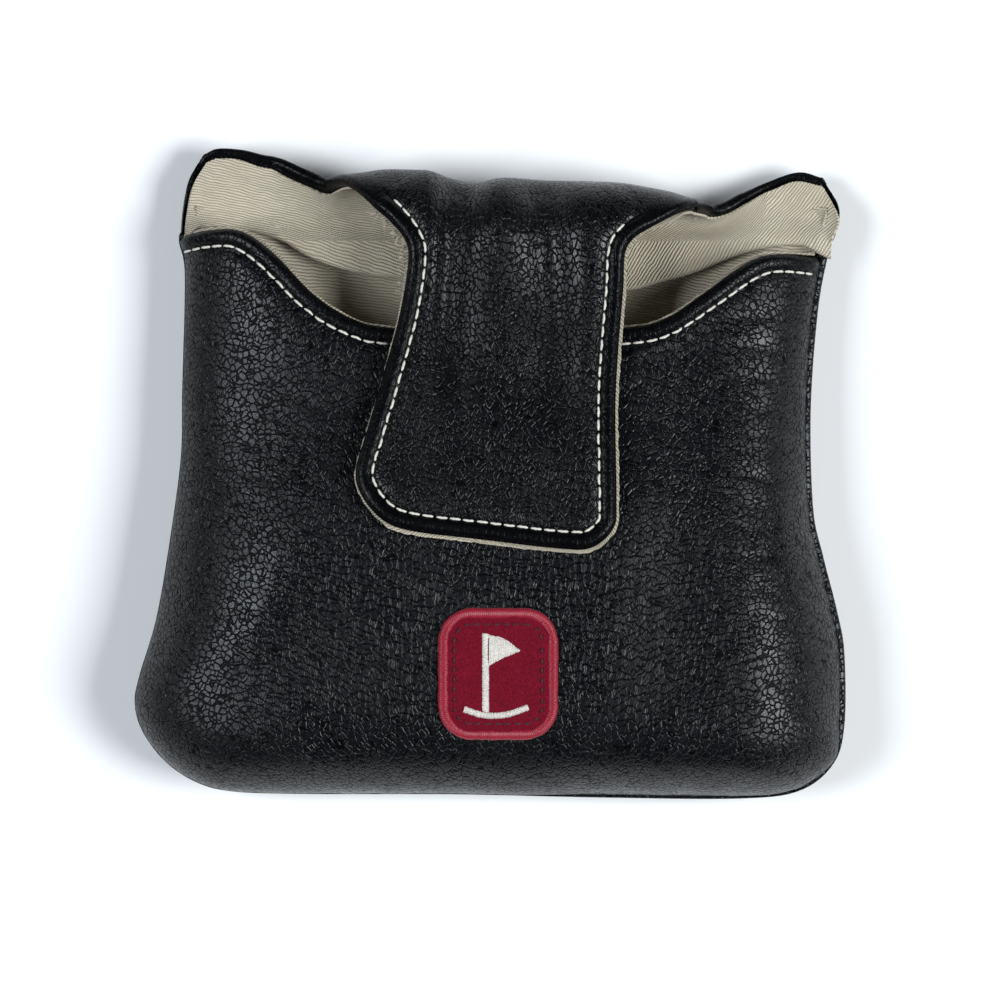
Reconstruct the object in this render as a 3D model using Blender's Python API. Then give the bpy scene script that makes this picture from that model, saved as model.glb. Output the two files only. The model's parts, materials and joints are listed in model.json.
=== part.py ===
"""Padded leather cover for a mallet putter head, lying on its back with the flap closed.

Frame: metres, +Z up out of the table, +X to the right, +Y towards the mouth. The origin is on the
table under the middle of the cover. Dimensions below are in millimetres and go through MM once.

The cover is a pouch of two panels (leather, foam and lining each) sewn round the sides and bottom.
The back panel runs on past the mouth as two ears and a tongue. The tongue is a fold of two links
and a flap, hinged at three lines across the fold, and magnets hold it down on the front panel.
"""

import math

import bpy
import bmesh
import numpy as np
from mathutils import Vector
from mathutils.bvhtree import BVHTree

MM = 0.001

# Overall sizes
WIDTH = 150.0
LENGTH = 137.7
POUCH_TOP = 31.4  # top of the front panel over the pocket
SEAM_Z = 12.0  # height of the side and bottom seam

# Thicknesses
LEATHER = 1.2
HEM = 2.4  # leather turned in along a free edge
FOAM = 1.8
FLAP_FOAM = 1.6
LINING = 0.5
GAP = 0.3  # left between neighbouring pieces
HEM_WIDTH = 4.2
SEAM_ALLOWANCE = 2.6  # how far the sewn edge of a panel reaches inwards
THREAD_R = 0.3
SEAM_THREAD_R = 0.2
LINING_PEEK = 0.9  # how far the lining shows past the flap's leather

# Shape
MOUTH_TOP = 23.5  # top of the front panel where the tongue leaves the roll
CROSS_DOME = 2.0  # how much lower the front panel is at the sides
FRONT_ROUND = 20.0  # width of the rounded border of the front panel
BACK_ROUND = 14.0
BACK_FLAT_END = 28.0  # the back panel leaves the table beyond this Y
BACK_LIFT = 3.0  # height of the back panel where the roll begins
EAR_SLOPE = 0.30
EAR_DROP = 2.7  # how far the seam line drops from the bottom to the ears
DOME_LOW_Y = -25.0

# Closure
FLAP_CLEARANCE = 1.2  # between the front panel and the closed flap
FOLD_TURN = math.radians(60)  # turned by each of the three fold lines
FOLD_CUT = 0.55  # each link stops this far short of a fold line
MAGNET_R = 7.0
MAGNET_X = (-11.0, 13.0)
MAGNET_WALL = 1.0  # foam left between a magnet's pocket and the bottom edge of the flap's foam

# Patch
PATCH_CENTRE = (1.8, -42.0)
PATCH_SIZE = (25.0, 27.5)
PATCH_CORNER = 7.0
FELT = 1.2
BORDER_WIDTH = 2.2
BORDER_HEIGHT = 2.0
CLEAR_OF_PANEL = 0.45  # under the patch, whose underside is straighter than the panel

# Outlines at the nominal 150 by 137.7 mm. The first runs from the left ear's outer corner down the
# side, round the bottom and up to the right ear's outer corner.
OUTLINE = (
    (-60.6, 67.6), (-64.3, 61.3), (-65.8, 50.1), (-64.5, 42.0), (-65.0, 17.3), (-65.3, 3.0),
    (-67.8, -15.6), (-70.5, -30.9), (-74.1, -43.1), (-75.0, -48.8), (-73.4, -54.5),
    (-68.9, -60.6), (-62.7, -65.0), (-55.0, -67.2), (-40.0, -67.8), (-6.4, -67.9),
    (24.4, -68.6), (52.9, -68.8), (65.4, -67.2), (72.5, -61.7), (75.0, -53.5), (75.0, -38.0),
    (73.4, -28.9), (70.5, -17.5), (68.4, -7.4), (67.9, 13.1), (69.4, 33.6), (71.5, 45.4),
    (74.3, 55.1), (70.8, 62.6),
)
MOUTH_CORNERS = (2, 27)  # their places in OUTLINE
MOUTH_EDGE = (
    (-65.8, 50.1), (-59.7, 51.2), (-52.5, 50.8), (-45.3, 45.9), (-37.1, 37.7), (-28.8, 32.5),
    (-20.7, 30.6), (2.0, 29.4), (28.0, 30.6), (36.7, 32.5), (44.9, 37.7), (54.0, 43.9),
    (60.1, 45.9), (71.5, 45.4),
)
LEFT_EAR = ((-60.6, 67.6), (-57.6, 68.9), (-52.5, 68.5), (-42.2, 65.3), (-36.5, 62.9))
RIGHT_EAR = ((48.8, 57.6), (58.2, 61.7), (65.4, 63.9), (70.8, 62.6))
FOLD_SIDES = (-34.0, 46.6)  # the tongue's edges where it leaves the back panel
FLAP_TOP_SIDES = (-25.5, 39.5)
FLAP_EDGE = (
    (-18.1, 50.1), (-17.0, 44.8), (-18.7, 33.6), (-22.3, 20.3), (-25.9, 8.0), (-27.9, 0.8),
    (-26.9, -4.2), (-22.7, -9.4), (-16.6, -12.0), (-1.3, -13.9), (14.1, -15.7), (21.2, -15.6),
    (25.9, -11.4), (26.5, -5.3), (26.3, 13.1), (26.9, 25.4), (28.0, 38.7), (28.4, 45.9),
    (30.5, 50.1),
)
FOLD_CREST_Y = 62.0
MIDDLE_X = 3.0
CURVE_STEPS = 8  # points per span of a smooth outline

SCALE_X = WIDTH / 150.0
SCALE_Y = LENGTH / 137.7


def placed(points):
    """Outline points at the size of this cover."""
    return [(x * SCALE_X, y * SCALE_Y) for x, y in points]


# Derived levels
STACK = LEATHER + GAP + FOAM + GAP
FLAP_STACK = LEATHER + GAP + FLAP_FOAM + GAP + LINING
FLAP_LEVEL = MOUTH_TOP + FLAP_CLEARANCE + FLAP_STACK  # outer face of the flap at the roll
ROLL_R = (FLAP_LEVEL - BACK_LIFT) / 2  # outer radius of the roll
ROLL_Z = BACK_LIFT + ROLL_R
ROLL_Y = FOLD_CREST_Y * SCALE_Y - ROLL_R
HINGE_R = ROLL_R - LEATHER / 2  # fold lines lie in the middle of the leather
CUT_ANGLE = FOLD_CUT / HINGE_R
CENTRE_X = MIDDLE_X * SCALE_X


def smoothstep(value):
    value = min(max(value, 0.0), 1.0)
    return value * value * (3 - 2 * value)


def lerp(a, b, share):
    return a + (b - a) * share


# ---------------------------------------------------------------- curves

def smooth_curve(points, steps=CURVE_STEPS):
    """A Catmull-Rom curve through the points, as an array of (x, y)."""
    p = np.array(points, float)
    padded = np.vstack([2 * p[0] - p[1], p, 2 * p[-1] - p[-2]])
    found = []
    for a, b, c, d in zip(padded, padded[1:], padded[2:], padded[3:]):
        for step in range(steps):
            t = step / steps
            found.append(
                0.5 * (2 * b + (c - a) * t + (2 * a - 5 * b + 4 * c - d) * t**2
                       + (3 * b - a - 3 * c + d) * t**3)
            )
    found.append(p[-1])
    return np.array(found)


def lengths_along(curve):
    steps = np.linalg.norm(np.diff(curve, axis=0), axis=1)
    return np.concatenate([[0], np.cumsum(steps)])


def points_at(curve, where):
    """Points of a curve at these lengths along it."""
    along = lengths_along(curve)
    return np.stack([np.interp(where, along, curve[:, i]) for i in range(curve.shape[1])], axis=1)


def offset_curve(curve, distance):
    """The curve moved to its left side; the outlines run so that left is inwards."""
    tangent = np.gradient(curve, axis=0)
    tangent /= np.linalg.norm(tangent, axis=1)[:, None]
    return curve + distance * np.stack([-tangent[:, 1], tangent[:, 0]], axis=1)


def height_on(curve):
    """Y as a function of X along a curve that runs left to right."""
    return lambda x: float(np.interp(x, curve[:, 0], curve[:, 1]))


# ---------------------------------------------------------------- surfaces

def front_dome(x, y):
    """Height of the front panel away from its border; it runs on past the mouth."""
    rise = (ROLL_Y - y) / (ROLL_Y - DOME_LOW_Y * SCALE_Y)
    rise = 0.5 - 0.5 * math.cos(math.pi * min(max(rise, 0.0), 1.0))
    side = (x - CENTRE_X) / (0.4 * WIDTH)
    return MOUTH_TOP + rise * (POUCH_TOP - MOUTH_TOP - CROSS_DOME * side * side)


def seam_height(y):
    return SEAM_Z - EAR_DROP * smoothstep(y / (LENGTH / 2))


def rounding(inset, width):
    """0 at the border and 1 past its rounding, along a quarter of an ellipse."""
    return math.sqrt(1 - (1 - min(max(inset / width, 0.0), 1.0)) ** 2)


def front_height(x, y, inset):
    seam = seam_height(y)
    return seam + (front_dome(x, y) - seam) * rounding(inset, FRONT_ROUND)


def back_floor(y):
    """Height of the back panel's outer face away from its border."""
    if y <= ROLL_Y:
        start = BACK_FLAT_END * SCALE_Y
        return BACK_LIFT * smoothstep((y - start) / (ROLL_Y - start))
    hinge_y = ROLL_Y + ROLL_R * math.sin(math.pi / 2 - FOLD_TURN)
    if y <= hinge_y:
        return ROLL_Z - math.sqrt(ROLL_R**2 - (y - ROLL_Y) ** 2)
    return ROLL_Z - ROLL_R * math.sin(FOLD_TURN) + EAR_SLOPE * (y - hinge_y)


def back_height(x, y, inset):
    seam = seam_height(y)
    return seam - (seam - back_floor(y)) * rounding(inset, BACK_ROUND)


def flap_height(x, y, inset):
    """Outer face of the flap."""
    if y <= ROLL_Y:
        return front_dome(x, y) + FLAP_LEVEL - MOUTH_TOP
    return ROLL_Z + math.sqrt(ROLL_R**2 - (y - ROLL_Y) ** 2)


def surface_at(height, x, y, above):
    """A point this far above a height function, measured along its normal, and the normal."""
    step = 0.5
    slope_x = (height(x + step, y, math.inf) - height(x - step, y, math.inf)) / (2 * step)
    slope_y = (height(x, y + step, math.inf) - height(x, y - step, math.inf)) / (2 * step)
    normal = Vector((-slope_x, -slope_y, 1)).normalized()
    return Vector((x, y, height(x, y, math.inf))) + normal * above, normal


# ---------------------------------------------------------------- grids

class Grid:
    """Points of a surface in rows from a U-shaped edge to a stem up its middle.

    Row 0 and the last row lie on the open side of the U. Rows j and last - j share their stem point.
    """

    def __init__(self, left, right, stem, insets, height, sign, top=None, fade=45.0):
        self.half = len(stem) - 1
        rows = 2 * self.half + 1
        self.points = np.zeros((rows, len(insets(0, 0.0)) + 2, 3))
        self.insets = np.zeros(self.points.shape[:2])
        offsets = lengths_along(np.array(left))
        for row in range(rows):
            j = self.stem_of(row)
            on_left = row <= self.half
            edge = np.array(left[j] if on_left else right[j])
            first = np.array(left[0] if on_left else right[0])
            reach = np.linalg.norm(stem[j] - edge)
            wanted = insets(j, row / (rows - 1))
            middle = lerp(wanted[-1], reach, 0.5)
            weight = 1 - smoothstep(offsets[j] / fade)
            for column, inset in enumerate([*wanted, middle, reach]):
                x, y = edge + (stem[j] - edge) * inset / reach
                if top:
                    share = (x - first[0]) / (stem[0][0] - first[0])
                    y += (top(x) - lerp(first[1], stem[0][1], share)) * weight
                self.points[row, column] = (x, y, height(x, y, inset))
                self.insets[row, column] = inset
        self.normals = self.find_normals(sign)

    def stem_of(self, row):
        return min(row, 2 * self.half - row)

    def find_normals(self, sign):
        """Vertex normals; on the seam they are level, across the edge of the panel."""
        p = self.points
        normals = np.zeros(p.shape)
        for row in range(p.shape[0] - 1):
            for column in range(p.shape[1] - 1):
                a, b = p[row, column], p[row + 1, column]
                c, d = p[row + 1, column + 1], p[row, column + 1]
                face = np.cross(c - a, d - b)
                face /= max(np.linalg.norm(face), 1e-9)
                if face[2] * sign < 0:
                    face = -face
                for r, k in ((row, column), (row + 1, column), (row + 1, column + 1),
                             (row, column + 1)):
                    normals[r, k] += face
        for j in range(self.half):
            both = normals[j, -1] + normals[2 * self.half - j, -1]
            normals[j, -1] = both
            normals[2 * self.half - j, -1] = both
        tangent = np.gradient(p[:, 0, :2], axis=0)
        normals[:, 0, 0] = tangent[:, 1]
        normals[:, 0, 1] = -tangent[:, 0]
        normals[:, 0, 2] = 0
        return normals / np.linalg.norm(normals, axis=2)[:, :, None]

    def level(self, depth):
        """The grid moved inwards by depth(row, column)."""
        moved = self.points.copy()
        for row in range(moved.shape[0]):
            for column in range(moved.shape[1]):
                moved[row, column] -= self.normals[row, column] * depth(row, column)
        return moved


# ---------------------------------------------------------------- objects

def material(name, colour, roughness, metallic=0.0):
    made = bpy.data.materials.new(name)
    made.use_nodes = True
    shader = made.node_tree.nodes["Principled BSDF"]
    shader.inputs["Base Color"].default_value = (*colour, 1.0)
    shader.inputs["Roughness"].default_value = roughness
    shader.inputs["Metallic"].default_value = metallic
    made.diffuse_color = (*colour, 1.0)
    return made


def add_object(name, points, faces, look, parent=None):
    """A closed mesh object from points in millimetres in the cover's frame."""
    mesh = bpy.data.meshes.new(name)
    made = bmesh.new()
    corners = [made.verts.new(Vector(p) * MM) for p in points]
    for face in faces:
        ring = []
        for index in face:
            if index not in ring:
                ring.append(index)
        if len(ring) > 2:
            made.faces.new([corners[index] for index in ring])
    bmesh.ops.recalc_face_normals(made, faces=made.faces)
    if made.calc_volume(signed=True) < 0:
        bmesh.ops.reverse_faces(made, faces=made.faces)
    made.to_mesh(mesh)
    made.free()
    mesh.shade_smooth()
    mesh.set_sharp_from_angle(angle=math.radians(40))
    mesh.materials.append(look)
    built = bpy.data.objects.new(name, mesh)
    bpy.context.scene.collection.objects.link(built)
    if parent:
        built.parent = parent
        built.location = -parent_origin(parent)
    return built


def parent_origin(parent):
    """Where the joint empties of a part add up to."""
    total = Vector()
    while parent:
        total += parent.location
        parent = parent.parent
    return total


def joint_empty(name, place, parent=None):
    """An empty on a fold line that holds everything that turns about it."""
    made = bpy.data.objects.new(name, None)
    bpy.context.scene.collection.objects.link(made)
    here = Vector(place) * MM
    if parent:
        made.parent = parent
        here -= parent_origin(parent)
    made.location = here
    return made


def sheet(name, grid, low, high, look, first_row=0, first_column=0, parent=None):
    """A closed sheet between two depths under a grid's surface.

    low and high are functions of row and column; the sheet may leave out border rows and columns.
    """
    last_row = 2 * grid.half - first_row
    last_column = grid.points.shape[1] - 1
    layers = [grid.level(low), grid.level(high)]
    points = []
    number = {}
    for side, layer in enumerate(layers):
        for row in range(first_row, last_row + 1):
            for column in range(first_column, last_column + 1):
                key = (side, row, column)
                if column == last_column:
                    key = (side, grid.stem_of(row), column)
                if key not in number:
                    number[key] = len(points)
                    points.append(layer[row, column])

    def at(side, row, column):
        if column == last_column:
            row = grid.stem_of(row)
        return number[side, row, column]

    faces = []
    for row in range(first_row, last_row):
        for column in range(first_column, last_column):
            for side in (0, 1):
                faces.append((at(side, row, column), at(side, row + 1, column),
                              at(side, row + 1, column + 1), at(side, row, column + 1)))
        faces.append((at(0, row, first_column), at(0, row + 1, first_column),
                      at(1, row + 1, first_column), at(1, row, first_column)))
    for row in (first_row, last_row):
        for column in range(first_column, last_column):
            faces.append((at(0, row, column), at(0, row, column + 1),
                          at(1, row, column + 1), at(1, row, column)))
    return add_object(name, points, faces, look, parent)


def tube(name, path, radius, look, parent=None, closed=False, sides=6):
    """A round thread along a path."""
    path = np.array(path, float)
    if closed:
        tangents = np.roll(path, -1, axis=0) - np.roll(path, 1, axis=0)
    else:
        tangents = np.gradient(path, axis=0)
    points = []
    for centre, tangent in zip(path, tangents):
        tangent = Vector(tangent).normalized()
        across = tangent.cross(Vector((0, 0, 1))).normalized()
        up = across.cross(tangent)
        for side in range(sides):
            angle = 2 * math.pi * side / sides
            spoke = across * math.cos(angle) + up * math.sin(angle)
            points.append(Vector(centre) + spoke * radius)
    faces = []
    count = len(path)
    for ring in range(count if closed else count - 1):
        after = (ring + 1) % count
        for side in range(sides):
            beside = (side + 1) % sides
            faces.append((ring * sides + side, ring * sides + beside,
                          after * sides + beside, after * sides + side))
    if not closed:
        faces.append(tuple(range(sides)))
        faces.append(tuple((count - 1) * sides + side for side in range(sides)))
    return add_object(name, points, faces, look, parent)


def draped_plate(name, outline, centre, under, low, high, look, rings=(1.0, 0.6)):
    """A thin plate with this outline, laid over the panel held in the tree `under`."""
    layers = []
    for above in (low, high):
        for share in rings:
            layers.append([drape(under, *lerp(np.array(centre), np.array(p), share), above)
                           for p in outline])
    count = len(outline)
    points = [p for layer in layers for p in layer]
    points.append(drape(under, *centre, low))
    points.append(drape(under, *centre, high))
    faces = []
    depth = len(rings)
    for i in range(count):
        j = (i + 1) % count
        for side in (0, 1):
            for ring in range(depth - 1):
                a = (side * depth + ring) * count
                faces.append((a + i, a + j, a + count + j, a + count + i))
            inner = (side * depth + depth - 1) * count
            faces.append((inner + i, inner + j, 2 * depth * count + side))
        faces.append((i, j, depth * count + j, depth * count + i))
    return add_object(name, points, faces, look)


def draped_ring(name, outer, inner, under, low, high, look):
    """A band between two outlines with as many points each, laid over a panel."""
    layers = [[drape(under, x, y, above) for x, y in outline]
              for outline, above in ((outer, low), (outer, high), (inner, high), (inner, low))]
    count = len(outer)
    faces = []
    for i in range(count):
        j = (i + 1) % count
        for layer in range(4):
            below = layer * count
            beside = (layer + 1) % 4 * count
            faces.append((below + i, below + j, beside + j, beside + i))
    return add_object(name, [p for layer in layers for p in layer], faces, look)


def drape(tree, x, y, above):
    """The point this far above a panel, along the panel's normal."""
    place, normal, _, _ = tree.ray_cast(Vector((x, y, 200.0)), Vector((0, 0, -1)))
    return place + normal * above


def tree_of(grid):
    """A search tree over a grid's outer face, in millimetres."""
    rows, columns = grid.points.shape[:2]
    points = [Vector(p) for p in grid.points.reshape(-1, 3)]
    faces = []
    for row in range(rows - 1):
        for column in range(columns - 1):
            a = row * columns + column
            faces.append((a, a + columns, a + columns + 1, a + 1))
    tree = BVHTree.FromPolygons(points, faces)
    _, normal, _, _ = tree.ray_cast(Vector((0, 0, 200.0)), Vector((0, 0, -1)))
    if normal.z < 0:
        tree = BVHTree.FromPolygons(points, [face[::-1] for face in faces])
    return tree


def rounded_rectangle(centre, width, height, corner, per_corner=6):
    """Points of a rounded rectangle, and as many for any size of it."""
    points = []
    for quarter in range(4):
        side_x = 1 if quarter in (0, 3) else -1
        side_y = 1 if quarter in (0, 1) else -1
        middle = (centre[0] + side_x * (width / 2 - corner),
                  centre[1] + side_y * (height / 2 - corner))
        for step in range(per_corner):
            angle = math.pi / 2 * (quarter + step / (per_corner - 1))
            points.append((middle[0] + corner * math.cos(angle),
                           middle[1] + corner * math.sin(angle)))
    return points


def disc(name, x, y, height, above, thickness, radius, look, parent=None, sides=24):
    """A flat disc square to a surface; its lower face is this far above it."""
    low, normal = surface_at(height, x, y, above)
    across = normal.cross(Vector((0, 1, 0))).normalized()
    up = normal.cross(across)
    points = []
    for level in (0, thickness):
        for side in range(sides):
            angle = 2 * math.pi * side / sides
            spoke = across * math.cos(angle) + up * math.sin(angle)
            points.append(low + normal * level + spoke * radius)
    faces = [tuple(range(sides)), tuple(range(sides, 2 * sides))]
    for side in range(sides):
        beside = (side + 1) % sides
        faces.append((side, beside, sides + beside, sides + side))
    return add_object(name, points, faces, look, parent)


def cut_with(target, cutter):
    cutter.hide_render = True
    cutter.display_type = "WIRE"
    modifier = target.modifiers.new("pocket_for_magnet", "BOOLEAN")
    modifier.operation = "DIFFERENCE"
    modifier.solver = "EXACT"
    modifier.object = cutter


def fold_link(name, angles, depths, sides, look, parent, steps=4, across=6):
    """One link of the fold: an arc of the roll between two angles.

    Angles are from level, about the roll's axis; sides(angle) gives the left and right edges.
    """
    points = []
    for depth in depths:
        radius = ROLL_R - depth
        for step in range(steps + 1):
            angle = lerp(angles[0], angles[1], step / steps)
            left, right = sides(angle)
            for column in range(across + 1):
                points.append((lerp(left, right, column / across),
                               ROLL_Y + radius * math.cos(angle),
                               ROLL_Z + radius * math.sin(angle)))
    row = across + 1
    layer = row * (steps + 1)
    faces = []
    for step in range(steps):
        for column in range(across):
            a = step * row + column
            for side in (0, layer):
                faces.append((side + a, side + a + 1, side + a + row + 1, side + a + row))
        for a in (step * row, step * row + across):
            faces.append((a, a + row, layer + a + row, layer + a))
    for start in (0, steps * row):
        for column in range(across):
            a = start + column
            faces.append((a, a + 1, layer + a + 1, layer + a))
    return add_object(name, points, faces, look, parent)


# ---------------------------------------------------------------- the cover

for old in list(bpy.data.objects):
    bpy.data.objects.remove(old, do_unlink=True)

leather = material("black_pebbled_leather", (0.012, 0.013, 0.017), 0.42)
flap_hide = material("black_flap_leather", (0.010, 0.011, 0.014), 0.40)
foam = material("grey_foam", (0.32, 0.32, 0.33), 0.95)
twill = material("beige_cotton_twill", (0.56, 0.50, 0.38), 0.90)
thread = material("off_white_thread", (0.80, 0.78, 0.72), 0.65)
dark_thread = material("dark_red_thread", (0.08, 0.01, 0.02), 0.70)
black_thread = material("black_thread", (0.02, 0.02, 0.02), 0.70)
felt = material("crimson_felt", (0.26, 0.006, 0.028), 0.90)
red_edge = material("red_embroidery", (0.50, 0.020, 0.055), 0.55)
white_edge = material("white_embroidery", (0.82, 0.82, 0.80), 0.55)
steel = material("nickel_magnet", (0.60, 0.60, 0.62), 0.30, metallic=1.0)

outline = smooth_curve(placed(OUTLINE))
corner_left = lengths_along(outline)[MOUTH_CORNERS[0] * CURVE_STEPS]
corner_right = lengths_along(outline)[MOUTH_CORNERS[1] * CURVE_STEPS]
whole = lengths_along(outline)[-1]
ear_left = corner_left
ear_right = whole - corner_right
half_length = (corner_right - corner_left) / 2

# Row spacing down each side from the mouth corner, then round to the middle of the bottom.
HEM_ROWS = [0.0, HEM_WIDTH, HEM_WIDTH + 0.5, 9.0]
FOAM_ROW = 3
SIDE_ROWS = 8
CORNER_ROWS = 5
BOTTOM_ROWS = 4
SIDE_SHARE = 0.52  # of the way round to the bottom's middle
CORNER_SHARE = 0.70
side_end = SIDE_SHARE * half_length
corner_end = CORNER_SHARE * half_length
front_rows = [
    *HEM_ROWS,
    *np.linspace(HEM_ROWS[-1], side_end, SIDE_ROWS)[1:],
    *np.linspace(side_end, corner_end, CORNER_ROWS)[1:],
    *np.linspace(corner_end, half_length, BOTTOM_ROWS)[1:],
]
EAR_ROWS = [0.0, 1.5, HEM_WIDTH, HEM_WIDTH + 0.5, 10.0]
ear_middle = (ear_left + ear_right) / 2


def edge_rows(start_left, start_right, rows):
    """Edge points down both sides from their starts, at these distances."""
    left = points_at(outline, [start_left + d for d in rows])
    right = points_at(outline, [start_right - d for d in rows])
    return left, right


def stem_rows(top_y, rows, length):
    """Stem points: they keep step with the rows at first, then crowd towards its foot."""
    return [np.array((CENTRE_X, top_y - length * (1 - math.exp(-d / length)))) for d in rows]


def rim_insets(width, rise, levels):
    """Insets where a rounded border reaches the first levels, then even turns."""
    low = [width * (1 - math.sqrt(1 - (level / rise) ** 2)) for level in levels]
    turns = [math.radians(angle) for angle in (18, 36, 54, 72, 90)]
    return low + [width * (1 - math.cos(turn)) for turn in turns]


HALF_SEAM = GAP / 2
FLANGE_TOP = HALF_SEAM + LEATHER

# Front panel
mouth = height_on(smooth_curve(placed(MOUTH_EDGE)))
FLANGE_STEP = 0.3  # between the seam allowance and the single leather beyond it
RIM_LEVELS = (HALF_SEAM, FLANGE_TOP, FLANGE_TOP + FLANGE_STEP)
front_insets = rim_insets(FRONT_ROUND, POUCH_TOP - SEAM_Z, RIM_LEVELS)
FRONT_FLANGE_COLUMNS = 2
FOAM_COLUMN = 3
left, right = edge_rows(corner_left, corner_right, front_rows)
STEM_LENGTH = 40.0 * SCALE_Y
FLAP_STEM_LENGTH = 52.0 * SCALE_Y
front_stem = stem_rows(mouth(CENTRE_X), front_rows, STEM_LENGTH)
front = Grid(left, right, front_stem, lambda j, share: front_insets, front_height, 1, top=mouth)


def panel_depth(row, column, half, hem_rows, flange_columns):
    """Depth of the inner face of a leather panel: thick in its hem and over its seam allowance."""
    if column < flange_columns:
        return SEAM_ALLOWANCE
    if min(row, 2 * half - row) < hem_rows:
        return HEM
    return LEATHER


def front_leather_depth(row, column):
    return panel_depth(row, column, front.half, 2, FRONT_FLANGE_COLUMNS)


def front_lining_depth(row, column):
    return HEM + GAP if front.stem_of(row) < FOAM_ROW else STACK


def flat(depth):
    return lambda row, column: depth


def deeper(depth, more):
    return lambda row, column: depth(row, column) + more


sheet("front_panel_leather", front, flat(0.0), front_leather_depth, leather)
front_foam = sheet("front_panel_foam", front, flat(LEATHER + GAP), flat(LEATHER + GAP + FOAM),
                   foam, FOAM_ROW, FOAM_COLUMN)
sheet("front_pocket_lining", front, front_lining_depth, deeper(front_lining_depth, LINING), twill)

# Back panel with its ears; its top runs along the ears and, between them, the first fold line.
back_rows = EAR_ROWS + [ear_middle + d for d in front_rows]
left_ears = points_at(outline, [ear_left * d / ear_middle for d in EAR_ROWS])
right_ears = points_at(outline, [whole - ear_right * d / ear_middle for d in EAR_ROWS])
back_left = np.vstack([left_ears, left])
back_right = np.vstack([right_ears, right])
fold_y = ROLL_Y + ROLL_R * math.cos(FOLD_TURN + CUT_ANGLE)
ear_edge_left = smooth_curve(placed(LEFT_EAR))
ear_edge_right = smooth_curve(placed(RIGHT_EAR))
NOTCH_GAP = 0.6
notch_left = FOLD_SIDES[0] * SCALE_X - NOTCH_GAP
notch_right = FOLD_SIDES[1] * SCALE_X + NOTCH_GAP
back_top = height_on(np.vstack([
    ear_edge_left, [(notch_left, fold_y), (notch_right, fold_y)], ear_edge_right]))
NOTCH_FADE = 60.0
PAST_RIM = (6.0, 20.0)  # the step's two columns lie this far inside the rim at the bottom
back_rim = rim_insets(BACK_ROUND, SEAM_Z, RIM_LEVELS)


def back_insets(j, share):
    """Rim columns, then two columns that carry the step from an ear to the fold line."""
    edge, step = back_left[j], (ear_edge_left[-1][0], notch_left)
    if share > 0.5:
        edge, step = back_right[j], (ear_edge_right[0][0], notch_right)
    slant = np.linalg.norm(back_stem[j] - edge) / abs(back_stem[j][0] - edge[0])
    spread = smoothstep((back_rows[j] - EAR_ROWS[-1]) / NOTCH_FADE)
    low = (BACK_ROUND + PAST_RIM[0], BACK_ROUND + PAST_RIM[1])
    return back_rim + [lerp(abs(x - edge[0]) * slant, even, spread) for x, even in zip(step, low)]


back_stem = stem_rows(fold_y, back_rows, fold_y - front_stem[-1][1])
back = Grid(back_left, back_right, back_stem, back_insets, back_height, -1, top=back_top)
MOUTH_ROW = len(EAR_ROWS)
EAR_HEM_ROWS = 3
EDGE_COLUMNS = 9  # columns from the side up to the step at the fold line
HEM_COLUMNS = 6


def in_ear_hem(row, column):
    """Whether a point lies in the turned edge of an ear."""
    j = back.stem_of(row)
    if j >= MOUTH_ROW:
        return False
    return column < HEM_COLUMNS or (j < EAR_HEM_ROWS and column < EDGE_COLUMNS)


def back_leather_depth(row, column):
    if back.stem_of(row) >= MOUTH_ROW and column < FRONT_FLANGE_COLUMNS:
        return SEAM_ALLOWANCE
    return HEM if in_ear_hem(row, column) else LEATHER


def back_lining_depth(row, column):
    j = back.stem_of(row)
    if j > MOUTH_ROW:
        return STACK
    return HEM + GAP if in_ear_hem(row, column) or j == MOUTH_ROW else LEATHER + GAP


sheet("back_panel_leather", back, flat(0.0), back_leather_depth, leather)
sheet("back_panel_foam", back, flat(LEATHER + GAP), flat(LEATHER + GAP + FOAM), foam,
      MOUTH_ROW + FOAM_ROW, FOAM_COLUMN)
sheet("back_pocket_lining", back, back_lining_depth, deeper(back_lining_depth, LINING), twill)

# Threads of the closing seam and of the lining's seam
SEAM_START = 4  # the seams are tied off at this row below the mouth's corners
for seam_name, inset, look in (
    ("side_seam_thread", SEAM_ALLOWANCE + GAP + SEAM_THREAD_R, black_thread),
    ("lining_seam_thread", STACK + LINING + GAP + SEAM_THREAD_R, thread),
):
    path = (front.points[:, 0] - inset * front.normals[:, 0])[SEAM_START:-SEAM_START]
    tube(seam_name, [(x, y, seam_height(y)) for x, y, _ in path], SEAM_THREAD_R, look)

# Thread round the mouth
front_tree = tree_of(front)
STITCH_INSET = 3.6
mouth_curve = smooth_curve(placed(MOUTH_EDGE))
mouth_length = lengths_along(mouth_curve)[-1]
MOUTH_STITCH_START = 2.5  # from the mouth's corners
MOUTH_STITCH_POINTS = 46
mouth_line = points_at(mouth_curve, np.linspace(
    MOUTH_STITCH_START, mouth_length - MOUTH_STITCH_START, MOUTH_STITCH_POINTS))
stitch_line = offset_curve(mouth_line, -STITCH_INSET)
STITCH_LIFT = GAP + THREAD_R + 0.1
tube("mouth_topstitch", [drape(front_tree, x, y, STITCH_LIFT) for x, y in stitch_line],
     THREAD_R, thread)

# Fold lines
HINGE_ANGLES = (-FOLD_TURN, 0.0, FOLD_TURN)
hinge_places = [(CENTRE_X, ROLL_Y + HINGE_R * math.cos(a), ROLL_Z + HINGE_R * math.sin(a))
                for a in HINGE_ANGLES]
lower_turn = joint_empty("lower_fold_line", hinge_places[0])
crest_turn = joint_empty("crest_fold_line", hinge_places[1], lower_turn)
flap_turn = joint_empty("flap_fold_line", hinge_places[2], crest_turn)


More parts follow.
